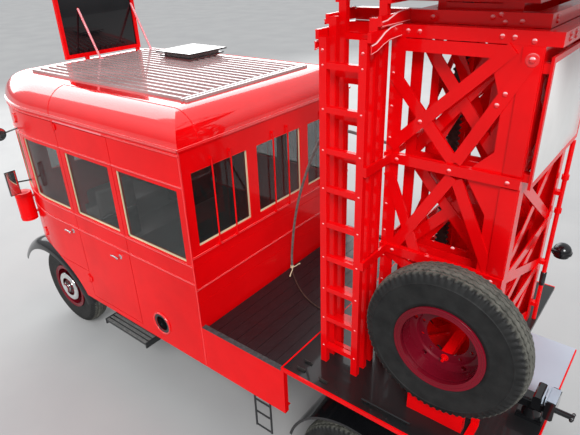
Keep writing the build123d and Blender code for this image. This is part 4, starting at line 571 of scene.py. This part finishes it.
# Window openings of the sides: name, ends, what they ride on and sections along them. The cream frames
# stand inside the red openings, between two depths behind the wall's face
SIDE_WINDOWS = [("fixed_rear", 0.075, 0.85, "chassis", 2), ("middle", 0.965, 1.645, "middle_door", 2),
                ("front", 1.775, 2.45, "front_door", 9), ("fixed_front", 2.6, 2.85, "chassis", 9)]
SIDE_WINDOW_Z = (1.935, 2.565)
REAR_WINDOWS = ((0.423, 1.047), (-0.306, 0.306), (-1.047, -0.423))
REAR_WINDOW_Z = (2.063, 2.694)
FRAME_NEAR, FRAME_FAR = 0.009, 0.0174
THIN_BAR, WIDE_BAR = 0.006, 0.016


def add_side_frame(side, x0, x1, count):
    """The four bars of a side window's frame, which follow the wall's sweep."""
    low, high = SIDE_WINDOW_Z
    xs = [x0 + (x1 - x0) * i / (count - 1) for i in range(count)]
    bm = bmesh.new()
    for z0, z1 in ((low, low + 0.015), (high - THIN_BAR, high)):
        corners = ((FRAME_NEAR, z0), (FRAME_NEAR, z1), (FRAME_FAR, z1), (FRAME_FAR, z0))
        add_strip(bm, [[at(x, side * (wall_y(x) - depth), z) for depth, z in corners] for x in xs])
    for xa, xb in ((x0, x0 + THIN_BAR), (x1 - 0.014, x1)):
        corners = ((xa, FRAME_NEAR), (xb, FRAME_NEAR), (xb, FRAME_FAR), (xa, FRAME_FAR))
        add_strip(bm, [[at(x, side * (wall_y(x) - depth), z) for x, depth in corners] for z in (low, high)])
    return bm


def add_window_frames():
    for side, word in SIDES:
        for name, x0, x1, body, count in SIDE_WINDOWS:
            finish(add_side_frame(side, x0, x1, count), "window_frame_%s_%s" % (name, word), "cream_paint",
                   rider(body, word))
    bm = bmesh.new()
    z0, z1 = REAR_WINDOW_Z
    for y0, y1 in REAR_WINDOWS:
        ya, yb, za, zb = y0 + WIDE_BAR, y1 - THIN_BAR, z0 + WIDE_BAR, z1 - THIN_BAR
        for y, z, end_y, end_z in ((y0, z0, y1, za), (y0, za, ya, z1), (yb, za, y1, z1), (ya, zb, yb, z1)):
            add_box(bm, at(FRAME_NEAR, y, z), at(FRAME_FAR, end_y, end_z), 0.002)
    finish(bm, "window_frames_rear", "cream_paint")


# Half-round beads over the cab's flat ones: lower edge, height and how far they stand proud. They are
# split at the doors so that they swing with them
SIDE_BEADS = [(1.732, 0.016, 0.006), (1.904, 0.018, 0.007), (2.596, 0.014, 0.006)]
REAR_BEADS = [(1.674, 0.016, 0.006), (1.976, 0.02, 0.009)]
TOP_BEAD = (2.85, 0.012, 0.008)
CORNICE = (2.886, 0.02, 0.012)
# Pale pink strip over the top bead above the middle door: a painted highlight
DRIP_HIGHLIGHT = (2.8485, 0.015, 0.0095)
BEAD_SPANS = [("rear", 0.001, 0.893, "chassis"), ("middle", 0.903, 1.713, "middle_door"),
              ("front", 1.723, 2.519, "front_door"), ("post", 2.529, 2.88, "chassis")]
BEADS_END_X = 2.88


def bead_outline(low, height, proud):
    """Distance out from the wall and height of a half-round's corners."""
    turns = [math.radians(-90 + 180 * k / 8) for k in range(9)]
    return [(-0.001 + (proud + 0.0016) * math.cos(a),
             low + height / 2 + (height / 2 + 0.0004) * math.sin(a)) for a in turns]


def add_side_bead(bm, side, x0, x1, shape):
    """A bead on a side wall between two distances from the rear wall."""
    count = 2 + int((x1 - x0) / 0.06)
    xs = [x0 + (x1 - x0) * i / (count - 1) for i in range(count)]
    add_strip(bm, [[at(x, side * (wall_y(x) + out), z) for out, z in bead_outline(*shape)] for x in xs])


def add_cab_beads():
    for side, word in SIDES:
        for name, x0, x1, body in BEAD_SPANS:
            bm = bmesh.new()
            for shape in SIDE_BEADS:
                add_side_bead(bm, side, x0, x1, shape)
            piece = finish(bm, "beads_%s_%s" % (name, word), "bead_highlight_paint", rider(body, word), 60)
    bm = bmesh.new()
    for side in (1, -1):
        add_side_bead(bm, side, 0, BEADS_END_X, TOP_BEAD)
        add_side_bead(bm, side, -0.01, BEADS_END_X, CORNICE)
    for shape in REAR_BEADS + [CORNICE]:
        end = HALF_WIDTH + (0.012 if shape is CORNICE else 0)
        add_strip(bm, [[at(-out, y, z) for out, z in bead_outline(*shape)] for y in (-end, end)])
    radius = 0.007
    outline = [(radius * math.cos(a), radius * math.sin(a)) for a in (math.tau * k / 12 for k in range(12))]
    for side in (1, -1):
        middle_y = side * (HALF_WIDTH - 0.003)
        add_strip(bm, [[at(0.003 + u, middle_y + v, z) for u, v in outline] for z in (0.875, 2.884)])
    finish(bm, "beads_cab", "bead_highlight_paint", sharp=60)
    # Painted highlight: pale pink strips along the bead above the middle doors
    bm = bmesh.new()
    for side in (1, -1):
        add_side_bead(bm, side, 0.945, 1.7, DRIP_HIGHLIGHT)
    finish(bm, "drip_highlight_strips", "pink_paint", sharp=60)


# Curved brackets that carry the ladders' heads: Y and height along the upper and the lower edge
BRACKETS = [
    ("base", "chassis",
     [(0.5565, 3.757), (0.62, 3.757), (0.69, 3.75), (0.75, 3.732), (0.8, 3.706), (0.84, 3.688),
      (0.891, 3.68)],
     [(0.891, 3.64), (0.83, 3.65), (0.77, 3.672), (0.7, 3.69), (0.5565, 3.697)]),
    ("middle", "middle_stage",
     [(0.4645, 3.828), (0.55, 3.828), (0.62, 3.822), (0.68, 3.806), (0.73, 3.792), (0.79, 3.788)],
     [(0.79, 3.768), (0.4645, 3.768)]),
]
BRACKET_XS = (-1.0425, -1.4095)


def add_brackets():
    for name, body, top, bottom in BRACKETS:
        bm = bmesh.new()
        for x in BRACKET_XS:
            add_strip(bm, [[at(x + half, y, z) for y, z in top + bottom] for half in (-0.0032, 0.0032)])
            add_tube(bm, [at(x, y, z) for y, z in top], 0.006, 10)
            add_tube(bm, [at(x, y, z) for y, z in bottom], 0.005, 10)
        finish(bm, "ladder_brackets_" + name, "bead_highlight_paint", body, 50)


def add_stile_plates():
    """Flat angle flanges on the rear stiles of the base stage's sides."""
    bm = bmesh.new()
    for side in (1, -1):
        for z0, z1 in ((1.4, 2.262), (2.338, 2.918), (2.994, 3.684)):
            add_box(bm, at(-2.186, side * 0.5545, z0), at(-2.085, side * 0.5655, z1), 0.002)
    finish(bm, "stile_plates", "tower_paint")


# Lever handles: body and place of the spindle, rosette (radius, distance out) and the lever's path
# (distance forward, out and up)
HANDLES = (("middle_door", 1.046, 1.651), ("front_door", 1.833, 1.685))
HANDLE_ROSETTE = [(0.024, -0.001), (0.024, 0.004), (0.019, 0.008), (0.012, 0.01), (0.009, 0.03),
                  (0.011, 0.034), (0.011, 0.043), (0.008, 0.047), (0, 0.048)]
LEVER_PATH = [(-0.002, 0.037, 0), (0.02, 0.038, 0.003), (0.055, 0.039, 0.006), (0.09, 0.037, 0.002),
              (0.112, 0.033, -0.006), (0.118, 0.031, -0.009)]
LEVER_RADII = [0.008, 0.0085, 0.0075, 0.0085, 0.0075, 0.003]


def add_handles():
    for side, word in SIDES:
        for body, x, z in HANDLES:
            y = wall_y(x)
            bm = bmesh.new()
            add_turned(bm, HANDLE_ROSETTE, at(x, side * y, z), (0, side, 0), 28)
            path = [at(x + ahead, side * (y + out), z + rise) for ahead, out, rise in LEVER_PATH]
            add_tube(bm, path, LEVER_RADII, 14)
            finish(bm, "%s_handle_%s" % (body, word), "bright_metal", body + "_" + word, 50)


# Roof
SEAM_X, SEAM_Y, SEAM_LOWEST_Z = 1.755, 0.93, 2.912
VENT_X, VENT_Y = (1.43, 1.97), (-0.86, -0.32)


def roof_z(edge):
    """Height of the roof at a distance in from the cab's edge."""
    edge = min(max(edge, 0), ROOF_ROUND)
    return ROOF_EDGE_Z + math.sqrt(max(0, ROOF_ROUND ** 2 - (ROOF_ROUND - edge) ** 2))


def add_roof_seams():
    """Raised seams: up over each side's edge, back along the roof and down over the rear edge."""
    inset = HALF_WIDTH - SEAM_Y
    bm = bmesh.new()
    for side in (1, -1):
        path = []
        for i in range(13):
            edge = inset * (i / 12) ** 1.6
            path.append(at(SEAM_X, side * (HALF_WIDTH - edge), max(roof_z(edge), SEAM_LOWEST_Z)))
        for i in range(1, 30):
            path.append(at(SEAM_X - (SEAM_X - ROOF_ROUND) * i / 29, side * SEAM_Y, roof_z(inset)))
        for i in range(1, 13):
            edge = ROOF_ROUND * (1 - i / 12) ** 1.6
            z = min(roof_z(edge), roof_z(inset))
            path.append(at(edge, side * SEAM_Y, max(z, SEAM_LOWEST_Z)))
        add_tube(bm, path, 0.0035, 8)
    finish(bm, "roof_seams", "red_paint", sharp=60)


def add_vent_trim():
    """Dark rubber edges round the vent's lid and its middle plate."""
    thick = 0.004
    bm = bmesh.new()
    for inset, low, high in ((-0.003, 0.0835, 0.0975), (0.022, 0.0415, 0.0555)):
        xa, xb = VENT_X[0] + inset, VENT_X[1] - inset
        ya, yb = VENT_Y[0] + inset, VENT_Y[1] - inset
        for low_x, high_x, low_y, high_y in ((xa, xb, ya, ya + thick), (xa, xb, yb - thick, yb),
                                             (xa, xa + thick, ya, yb), (xb - thick, xb, ya, yb)):
            add_box(bm, at(low_x, low_y, ROOF_TOP_Z + low), at(high_x, high_y, ROOF_TOP_Z + high), 0.001)
    finish(bm, "vent_edges", "black_plastic")


def add_roof_board():
    """Black panel on the roof board's back, and its two pale stays with their feet."""
    bm = bmesh.new()
    add_box(bm, at(2.8285, -0.7025, 3.1985), at(2.8385, 0.2225, 3.8535), 0.003)
    finish(bm, "roof_board_panel", "black_paint")
    bm = bmesh.new()
    for y in (-0.706, 0):
        foot, head = at(2.56, y, 3.142), at(2.843, y, 3.696)
        add_tube(bm, [foot + (head - foot) * 0.015, head + (foot - head) * 0.055], 0.0125, 16)
        add_turned(bm, [(0.026, 0), (0.026, 0.008), (0.018, 0.016), (0, 0.018)], at(2.545, y, 3.146),
                   (0, 0, 1), 18)
    finish(bm, "roof_board_stays", "pink_paint")


def add_warning_face():
    """Blank white face of the warning board."""
    bm = bmesh.new()
    add_box(bm, at(-2.2385, -0.5225, 2.9625), at(-2.2355, 0.5225, 3.6075), 0.001)
    finish(bm, "warning_face", "white_paint")


# Rivets on both sides of the tower: places (distance from the rear wall, height), Y of the face that they
# stand on, radius and rise
BASE_RIVETS = [
    ([(-1.973, 3.722), (-2.035, 3.721), (-2.131, 3.708), (-1.45, 3.722), (-1.52, 3.722)],
     0.555, 0.014, 0.008),
    ([(-1.442, 2.957), (-1.785, 2.955), (-2.122, 2.955), (-1.45, 2.3), (-1.785, 2.3), (-2.122, 2.3)],
     0.581, 0.014, 0.008),
    ([(-2.034, 3.437), (-1.999, 3.373), (-1.57, 3.216), (-1.86, 2.44), (-1.755, 2.1), (-1.755, 1.635)],
     0.567, 0.014, 0.008),
    ([(-2.14, 3.621)], 0.571, 0.017, 0.011),
    ([(x, z) for z in (1.42, 1.62, 1.82, 2.02, 2.22, 2.42, 2.62, 2.82, 3.08, 3.28, 3.48)
      for x in (-1.372, -2.17)], 0.555, 0.01, 0.005),
]
MIDDLE_RIVETS = [([(-1.882, 3.801), (-1.923, 3.815), (-1.948, 3.778), (-2.033, 3.785), (-1.55, 3.79)],
                  0.463, 0.014, 0.008)]
INNER_RIVETS = [([(x, 3.9) for x in (-1.65, -1.75, -1.95, -2.03)], 0.371, 0.012, 0.007)]
WASHER = [(0.034, 0), (0.034, 0.003), (0.03, 0.004), (0, 0.004)]
LADDER_XS, LADDER_FACE_Y = (-1.358, -1.094), 0.891
FIRST_RUNG_Z, RUNG_PITCH, RUNGS = 1.5, 0.257, 9


def add_side_rivets(bm, rows):
    for places, y, radius, rise in rows:
        for side in (1, -1):
            for x, z in places:
                add_dome(bm, at(x, side * y, z), (0, side, 0), radius, rise)


def add_rear_rivets(bm, x, ys, zs):
    for y in ys:
        for z in zs:
            add_dome(bm, at(x, y, z), (-1, 0, 0), 0.013, 0.008)


def add_tower_bolts():
    bm = bmesh.new()
    add_side_rivets(bm, BASE_RIVETS)
    for side in (1, -1):
        add_turned(bm, WASHER, at(-2.14, side * 0.567, 3.621), (0, side, 0), 28)
    add_rear_rivets(bm, -2.266, (-0.45, -0.32, 0.32, 0.434), (3.712, 3.735))
    finish(bm, "tower_rivets_base", "bead_highlight_paint")
    bm = bmesh.new()
    add_side_rivets(bm, MIDDLE_RIVETS)
    add_rear_rivets(bm, -2.174, (-0.36, 0.36), (3.785, 3.805))
    finish(bm, "tower_rivets_middle", "bead_highlight_paint", "middle_stage")
    bm = bmesh.new()
    add_side_rivets(bm, INNER_RIVETS)
    finish(bm, "tower_rivets_inner", "bead_highlight_paint", "inner_stage")
    bm = bmesh.new()
    for x in LADDER_XS:
        for i in range(RUNGS):
            z = FIRST_RUNG_Z + i * RUNG_PITCH
            add_dome(bm, at(x, LADDER_FACE_Y, z), (0, 1, 0), 0.008, 0.004)
        add_dome(bm, at(x, LADDER_FACE_Y, 3.64), (0, 1, 0), 0.01, 0.005)
    finish(bm, "ladder_rivets", "bead_highlight_paint")


# Deck
PLANKS_X0, PLANKS_X1, PLANKS = 0.03, 0.872, 8


def add_side_treads():
    """A ribbed rubber strip along each side panel."""
    y0, y1, bottom, base, crest = 1.0935, 1.1425, 1.3083, 1.3095, 1.3125
    ribs, pitch = 6, 0.008
    outline = [(y0, bottom), (y0, base)]
    for y in (y0 + 0.001 + pitch * i for i in range(ribs)):
        outline += [(y, base), (y + 0.0015, crest), (y + 0.0055, crest), (y + 0.007, base)]
    outline += [(y1, base), (y1, bottom)]
    for side, word in SIDES:
        bm = bmesh.new()
        add_strip(bm, [[at(x, side * y, z) for y, z in outline] for x in (-0.894, -0.003)])
        finish(bm, "side_tread_" + word, "tread_rubber")


def add_plank_screws():
    pitch = (PLANKS_X1 - PLANKS_X0) / PLANKS
    bm = bmesh.new()
    for i in range(PLANKS):
        x = -PLANKS_X0 - (i + 0.5) * pitch
        for y in (-1.05, -0.4, 0.4, 1.05):
            for step in (-0.028, 0.028):
                add_dome(bm, at(x + step, y, PLANKS_TOP_Z), (0, 0, 1), 0.0045, 0.0015)
    finish(bm, "plank_screws", "dark_iron")


def add_deck_toggles():
    """Toggles on the rear deck's nearside, and bolts along its edges."""
    bm = bmesh.new()
    for x, y in ((-1.02, 1.07), (-1.22, 1.07), (-1.02, 0.98)):
        add_box(bm, at(x - 0.03, y - 0.012, 1.3435), at(x + 0.03, y + 0.012, 1.352), 0.003)
        add_tube(bm, [at(x - 0.02, y, 1.356), at(x + 0.045, y, 1.357)], 0.006, 10)
    for x, y in [(x, y) for x in (-0.93, -1.35, -1.75, -2.15) for y in (1.1, -1.1)] + [(-2.52, 1.1)]:
        add_dome(bm, at(x, y, REAR_DECK_TOP_Z), (0, 0, 1), 0.009, 0.004)
    finish(bm, "deck_toggles", "dark_iron")


# Tie at the conduit's foot: its middle, its two loose ends from the knot outwards, and their thickness
TIE_CENTRE = at(-0.103, 0.012, 1.372)
TIE_ENDS = ([(0, 0, 0), (-0.02, 0.022, -0.004), (-0.028, 0.05, -0.016), (-0.04, 0.08, -0.022),
             (-0.048, 0.098, -0.03)],
            [(0, 0, 0), (-0.016, -0.012, 0.01), (-0.018, -0.04, 0.006), (-0.024, -0.066, 0.014),
             (-0.026, -0.086, 0.01)])
TIE_RADII = [0.007, 0.005, 0.0045, 0.005, 0.0055]


def add_tie():
    bm = bmesh.new()
    for lift in (-0.006, 0.004, 0.014):
        add_turned(bm, [(0.0112, lift - 0.004), (0.015, lift - 0.003), (0.0165, lift),
                        (0.015, lift + 0.003), (0.0112, lift + 0.004)], TIE_CENTRE, (0.05, 0, 1), 20)
    knot = TIE_CENTRE + Vector((-0.012, 0.012, 0.002))
    for end in TIE_ENDS:
        path = [knot + Vector(p) for p in end]
        add_tube(bm, path, TIE_RADII, 10)
        add_turned(bm, [(0.001, -0.007), (0.006, -0.005), (0.0085, 0), (0.006, 0.005), (0.001, 0.007)],
                   path[-1], path[-1] - path[-2], 12)
    finish(bm, "conduit_tie", "cream_paint", sharp=60)


# Small parts
def add_mirrors_and_lamps():
    """Mirror faces, lamp glasses and lamp rims."""
    rim = [(0.101, -0.012), (0.103, -0.004), (0.103, 0.004), (0.098, 0.009), (0.09, 0.01), (0.089, 0.002)]
    lens = [(0.0895, 0.001), (0.07, 0.009), (0.04, 0.0135), (0, 0.015)]
    glass = bmesh.new()
    chrome = bmesh.new()
    for side in (1, -1):
        add_turned(glass, [(0.0605, 0), (0.0605, 0.0012), (0, 0.0018)], at(2.6218, side * 1.262, 2.6),
                   (-1, 0, 0), 40)
        y = side * 1.27
        add_box(glass, at(2.6275, y - 0.048, 1.938), at(2.6296, y + 0.048, 2.192), 0.001)
        lamp = at(3.215, side * 0.408, 1.13)
        add_turned(chrome, rim, lamp, (1, 0, 0), 48)
        add_turned(glass, lens, lamp, (1, 0, 0), 48)
    finish(glass, "mirror_faces", "mirror_glass", sharp=60)
    finish(chrome, "headlamp_rims", "bright_metal", sharp=60)


def add_radiator_core():
    bm = bmesh.new()
    add_box(bm, at(3.164, -0.2375, 0.711), at(3.1655, 0.2375, 1.329))
    finish(bm, "radiator_core", "black_plastic")


def add_filler():
    """The filler port's cup, cap and flange, and the red ring round it."""
    bm = bmesh.new()
    for y, segments, profile in (
            (1.146, 48, [(0.0748, 0), (0.0742, -0.078), (0.045, -0.0805)]),
            (1.143, 40, [(0.0446, -0.082), (0.0446, -0.055), (0.041, -0.049), (0.02, -0.0485), (0, -0.0485)]),
            (1.1475, 48, [(0.0748, 0.0005), (0.0752, 0.0022), (0.102, 0.0022), (0.102, 0)])):
        add_turned(bm, profile, at(0.564, y, 1.095), (0, 1, 0), segments)
    finish(bm, "filler_cup", "black_paint", sharp=60)
    bm = bmesh.new()
    add_turned(bm, [(0.1, 0), (0.101, 0.008), (0.106, 0.0125), (0.112, 0.0115), (0.116, 0.006),
                    (0.117, -0.003)], at(0.564, 1.145, 1.095), (0, 1, 0), 64)
    finish(bm, "filler_ring", "roof_paint", sharp=60)


def add_bands(bm, centre, heights, inner, outer, half, edge, segments):
    """Bands round an upright: inner and outer radius, half their height and half that of their face."""
    for z in heights:
        add_turned(bm, [(inner, z - half), (outer, z - edge), (outer, z + edge), (inner, z + half)],
                   centre, (0, 0, 1), segments)


def add_canister_top():
    centre = at(2.82, 1.125, 1.86)
    bm = bmesh.new()
    add_turned(bm, [(0.088, -0.002), (0.088, 0.004), (0.08, 0.008), (0.074, 0.007), (0.06, 0.012),
                    (0.035, 0.02), (0, 0.023)], centre, (0, 0, 1), 40)
    add_bands(bm, centre, (-0.29, -0.03), 0.0885, 0.0905, 0.01, 0.008, 40)
    finish(bm, "canister_top", "red_paint", sharp=50)


def add_pole_parts():
    """Clamps and a grip on the pole at the tower's rear corner."""
    pole = at(-2.224, -0.563, 0)
    bm = bmesh.new()
    add_bands(bm, pole, (2.35, 2.62), 0.0172, 0.026, 0.02, 0.018, 24)
    finish(bm, "pole_clamps", "red_paint", sharp=50)
    bm = bmesh.new()
    add_turned(bm, [(0.0172, 1.68), (0.0225, 1.685), (0.0225, 1.8), (0.0172, 1.805)], pole, (0, 0, 1), 24)
    finish(bm, "pole_sleeve", "black_plastic", sharp=50)


# Seats: crowned cushions on boxes, each puffed by a short cloth simulation
CLOTH_FRAMES = 16
CLOTH_PRESSURE = 4.0
CROWN_RISE = 0.009
BENCH_HALF_WIDTH = 0.98


def puff_up(piece):
    """Blows a cushion up as pressurised cloth."""
    cloth = piece.modifiers.new("cloth", "CLOTH")
    cloth.settings.use_pressure = True
    cloth.settings.uniform_pressure_force = CLOTH_PRESSURE
    cloth.settings.quality = 4
    cloth.settings.effector_weights.gravity = 0.0
    cloth.point_cache.frame_start = 1
    cloth.point_cache.frame_end = CLOTH_FRAMES
    for step in range(1, CLOTH_FRAMES + 1):
        bpy.context.scene.frame_set(step)
    bpy.ops.object.modifier_apply(modifier="cloth")
    bpy.context.scene.frame_set(1)


def make_cushion(name, low, high, voxel, puff):
    """A crowned leather cushion between two corners; puff is the furthest that the cloth may move."""
    inset = Vector((0.012, 0.012, 0.012))
    a = Vector(low) + inset
    b = Vector(high) - inset
    bm = bmesh.new()
    add_box(bm, a, b, 0.03)
    piece = new_object(name, to_mesh(bm, name))
    bpy.context.view_layer.objects.active = piece
    piece.select_set(True)
    remesh = piece.modifiers.new("remesh", "REMESH")
    remesh.mode = "VOXEL"
    remesh.voxel_size = voxel
    bpy.ops.object.modifier_apply(modifier="remesh")
    rest = [v.co.copy() for v in piece.data.vertices]
    puff_up(piece)
    centre = (a + b) / 2
    half = (b - a) / 2
    for vert, start in zip(piece.data.vertices, rest):
        move = vert.co - start
        if move.length > puff:
            move = move.normalized() * puff
        place = start + move
        crown = ((1 - min(1, abs(start.x - centre.x) / half.x) ** 2)
                 * (1 - min(1, abs(start.y - centre.y) / half.y) ** 4))
        if start.z > centre.z and half.z < half.x:
            place.z += CROWN_RISE * crown
        vert.co = Vector([min(max(c, lo), hi) for c, lo, hi in zip(place, low, high)])
    smooth = piece.modifiers.new("smooth", "SMOOTH")
    smooth.iterations = 3
    bpy.ops.object.modifier_apply(modifier="smooth")
    piece.select_set(False)
    piece.data.materials.append(materials["grey_leather"])
    piece.data.shade_smooth()
    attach(piece, "chassis")


def add_piping(name, low, high, z):
    """A sewn bead round a cushion's upper edge."""
    inset, corner = 0.014, 0.03
    x0, x1 = low[0] + inset + corner, high[0] - inset - corner
    y0, y1 = low[1] + inset + corner, high[1] - inset - corner
    path = []
    for x, y, start in ((x1, y1, 0), (x0, y1, 90), (x0, y0, 180), (x1, y0, 270)):
        for a in (math.radians(start + 22.5 * k) for k in range(5)):
            path.append((x + corner * math.cos(a), y + corner * math.sin(a), z))
    bm = bmesh.new()
    add_tube(bm, path + [path[0]], 0.004, 8, caps=False)
    finish(bm, name, "grey_leather", sharp=60)


def add_seats():
    for side, word in SIDES:
        y0, y1 = sorted((side * 0.36, side * 0.86))
        low, high = at(1.832, y0, 1.525), at(2.25, y1, 1.675)
        make_cushion("front_seat_cushion_" + word, low, high, 0.008, 0.012)
        make_cushion("front_seat_back_" + word, at(1.776, y0, 1.69), at(1.829, y1, 2.03), 0.008, 0.01)
        add_piping("front_seat_piping_" + word, low, high, 1.652)
        bm = bmesh.new()
        add_box(bm, at(1.835, y0 + 0.01, FRONT_FLOOR_Z), at(2.245, y1 - 0.01, 1.523), 0.008)
        add_box(bm, at(1.8, y0 + 0.02, FRONT_FLOOR_Z), at(1.83, y1 - 0.02, 1.688), 0.006)
        finish(bm, "front_seat_box_" + word, "black_paint")
    end = BENCH_HALF_WIDTH
    low, high = at(0.142, -end, 1.21), at(0.62, end, 1.37)
    make_cushion("bench_cushion", low, high, 0.012, 0.014)
    make_cushion("bench_back", at(0.047, -end, 1.4), at(0.14, end, 1.9), 0.012, 0.012)
    add_piping("bench_piping", low, high, 1.347)
    bm = bmesh.new()
    box_end = end - 0.005
    add_box(bm, at(0.135, -box_end, REAR_FLOOR_Z), at(0.612, box_end, 1.208), 0.01)
    add_box(bm, at(0.0455, -box_end, REAR_FLOOR_Z), at(0.134, box_end, 1.398), 0.006)
    finish(bm, "bench_box", "black_paint")
    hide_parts("seats")


# Cords: the conduit from the tower to the cab's foot, and the cable that lies on the planks
CONDUIT = [(-1.3496, 0.34, 2.96), (-1.13, 0.34, 2.96), (-0.915, 0.352, 3.005), (-0.715, 0.34, 2.945),
           (-0.565, 0.275, 2.715), (-0.425, 0.208, 2.455), (-0.305, 0.148, 2.19), (-0.215, 0.096, 1.925),
           (-0.15, 0.052, 1.665), (-0.103, 0.014, 1.46), (-0.103, 0.012, 1.356)]
CABLE = [(-0.103, 0.012, 1.3556), (-0.103, 0.012, 1.3054), (-0.235, 0.122, 1.3054), (-0.335, 0.196, 1.3054),
         (-0.445, 0.262, 1.3054), (-0.565, 0.312, 1.3054), (-0.69, 0.336, 1.3054), (-0.795, 0.334, 1.3054),
         (-0.838, 0.33, 1.324), (-0.8656, 0.33, 1.324)]


def add_cord(name, route, radius, material, node):
    """A smooth open spline with the route's points as its control points."""
    curve = bpy.data.curves.new(name, "CURVE")
    curve.dimensions = "3D"
    curve.bevel_depth = radius
    curve.bevel_resolution = 6
    curve.resolution_u = 24
    curve.use_fill_caps = True
    spline = curve.splines.new("NURBS")
    spline.points.add(len(route) - 1)
    for point, place in zip(spline.points, route):
        point.co = (*at(*place), 1)
    spline.order_u = 3
    spline.use_endpoint_u = True
    curve.materials.append(materials[material])
    piece = new_object(name, curve)
    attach(piece, "chassis")
    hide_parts(node)
    return piece


def add_cords():
    conduit = add_cord("conduit_cord", CONDUIT, 0.011, "grey_rubber", "conduit")
    cable = add_cord("deck_cable_cord", CABLE, 0.005, "brown_rubber", "deck_cable")


# Stage and light: colours of the sky below and above its ramp, and the aim of the two lamps
SKY_LOW, SKY_HIGH = (0.24, 0.25, 0.26, 1), (0.8, 0.82, 0.85, 1)
SOFTBOX_AT, SOFTBOX_AIM = Vector((12.2, -6.2, 9.8)), Vector((1.2, 0, 3.1))
SUN_FROM = Vector((-0.5, 0.58, 0.64))


def add_ground():
    bm = bmesh.new()
    bmesh.ops.create_grid(bm, x_segments=1, y_segments=1, size=90)
    ground = new_object("ground", to_mesh(bm, "ground"))
    ground.data.materials.append(materials["studio_floor"])


def add_sky():
    world = bpy.data.worlds.new("sky")
    bpy.context.scene.world = world
    world.use_nodes = True
    tree = world.node_tree
    place = tree.nodes.new("ShaderNodeTexCoord")
    split = tree.nodes.new("ShaderNodeSeparateXYZ")
    ramp = tree.nodes.new("ShaderNodeValToRGB")
    for element, position, colour in zip(ramp.color_ramp.elements, (0, 0.44), (SKY_LOW, SKY_HIGH)):
        element.position = position
        element.color = colour
    tree.links.new(place.outputs["Generated"], split.inputs["Vector"])
    tree.links.new(split.outputs["Z"], ramp.inputs["Fac"])
    tree.links.new(ramp.outputs["Color"], tree.nodes["Background"].inputs["Color"])
    tree.nodes["Background"].inputs["Strength"].default_value = 1.0


def add_lamps():
    panel = bpy.data.lights.new("softbox", "AREA")
    panel.shape = "RECTANGLE"
    panel.size = 26
    panel.size_y = 12
    panel.energy = 2700
    stand = new_object("softbox", panel)
    stand.location = SOFTBOX_AT
    stand.rotation_euler = (SOFTBOX_AIM - SOFTBOX_AT).to_track_quat("-Z", "Y").to_euler()

    sun = bpy.data.lights.new("sun", "SUN")
    sun.energy = 2.4
    sun.angle = math.radians(22)
    new_object("sun", sun).rotation_euler = SUN_FROM.to_track_quat("Z", "Y").to_euler()


add_camera()
dress_nodes()
add_cords()
add_tyres()
add_wheel_trim()
add_rim_edges()
add_step_ribs()
add_vice_jaws()
add_window_frames()
add_cab_beads()
add_brackets()
add_stile_plates()
add_handles()
add_roof_seams()
add_vent_trim()
add_roof_board()
add_warning_face()
add_tower_bolts()
add_side_treads()
add_plank_screws()
add_deck_toggles()
add_tie()
add_mirrors_and_lamps()
add_radiator_core()
add_filler()
add_canister_top()
add_pole_parts()
add_seats()
add_ground()
add_sky()
add_lamps()
bpy.context.scene.view_settings.view_transform = "Standard"
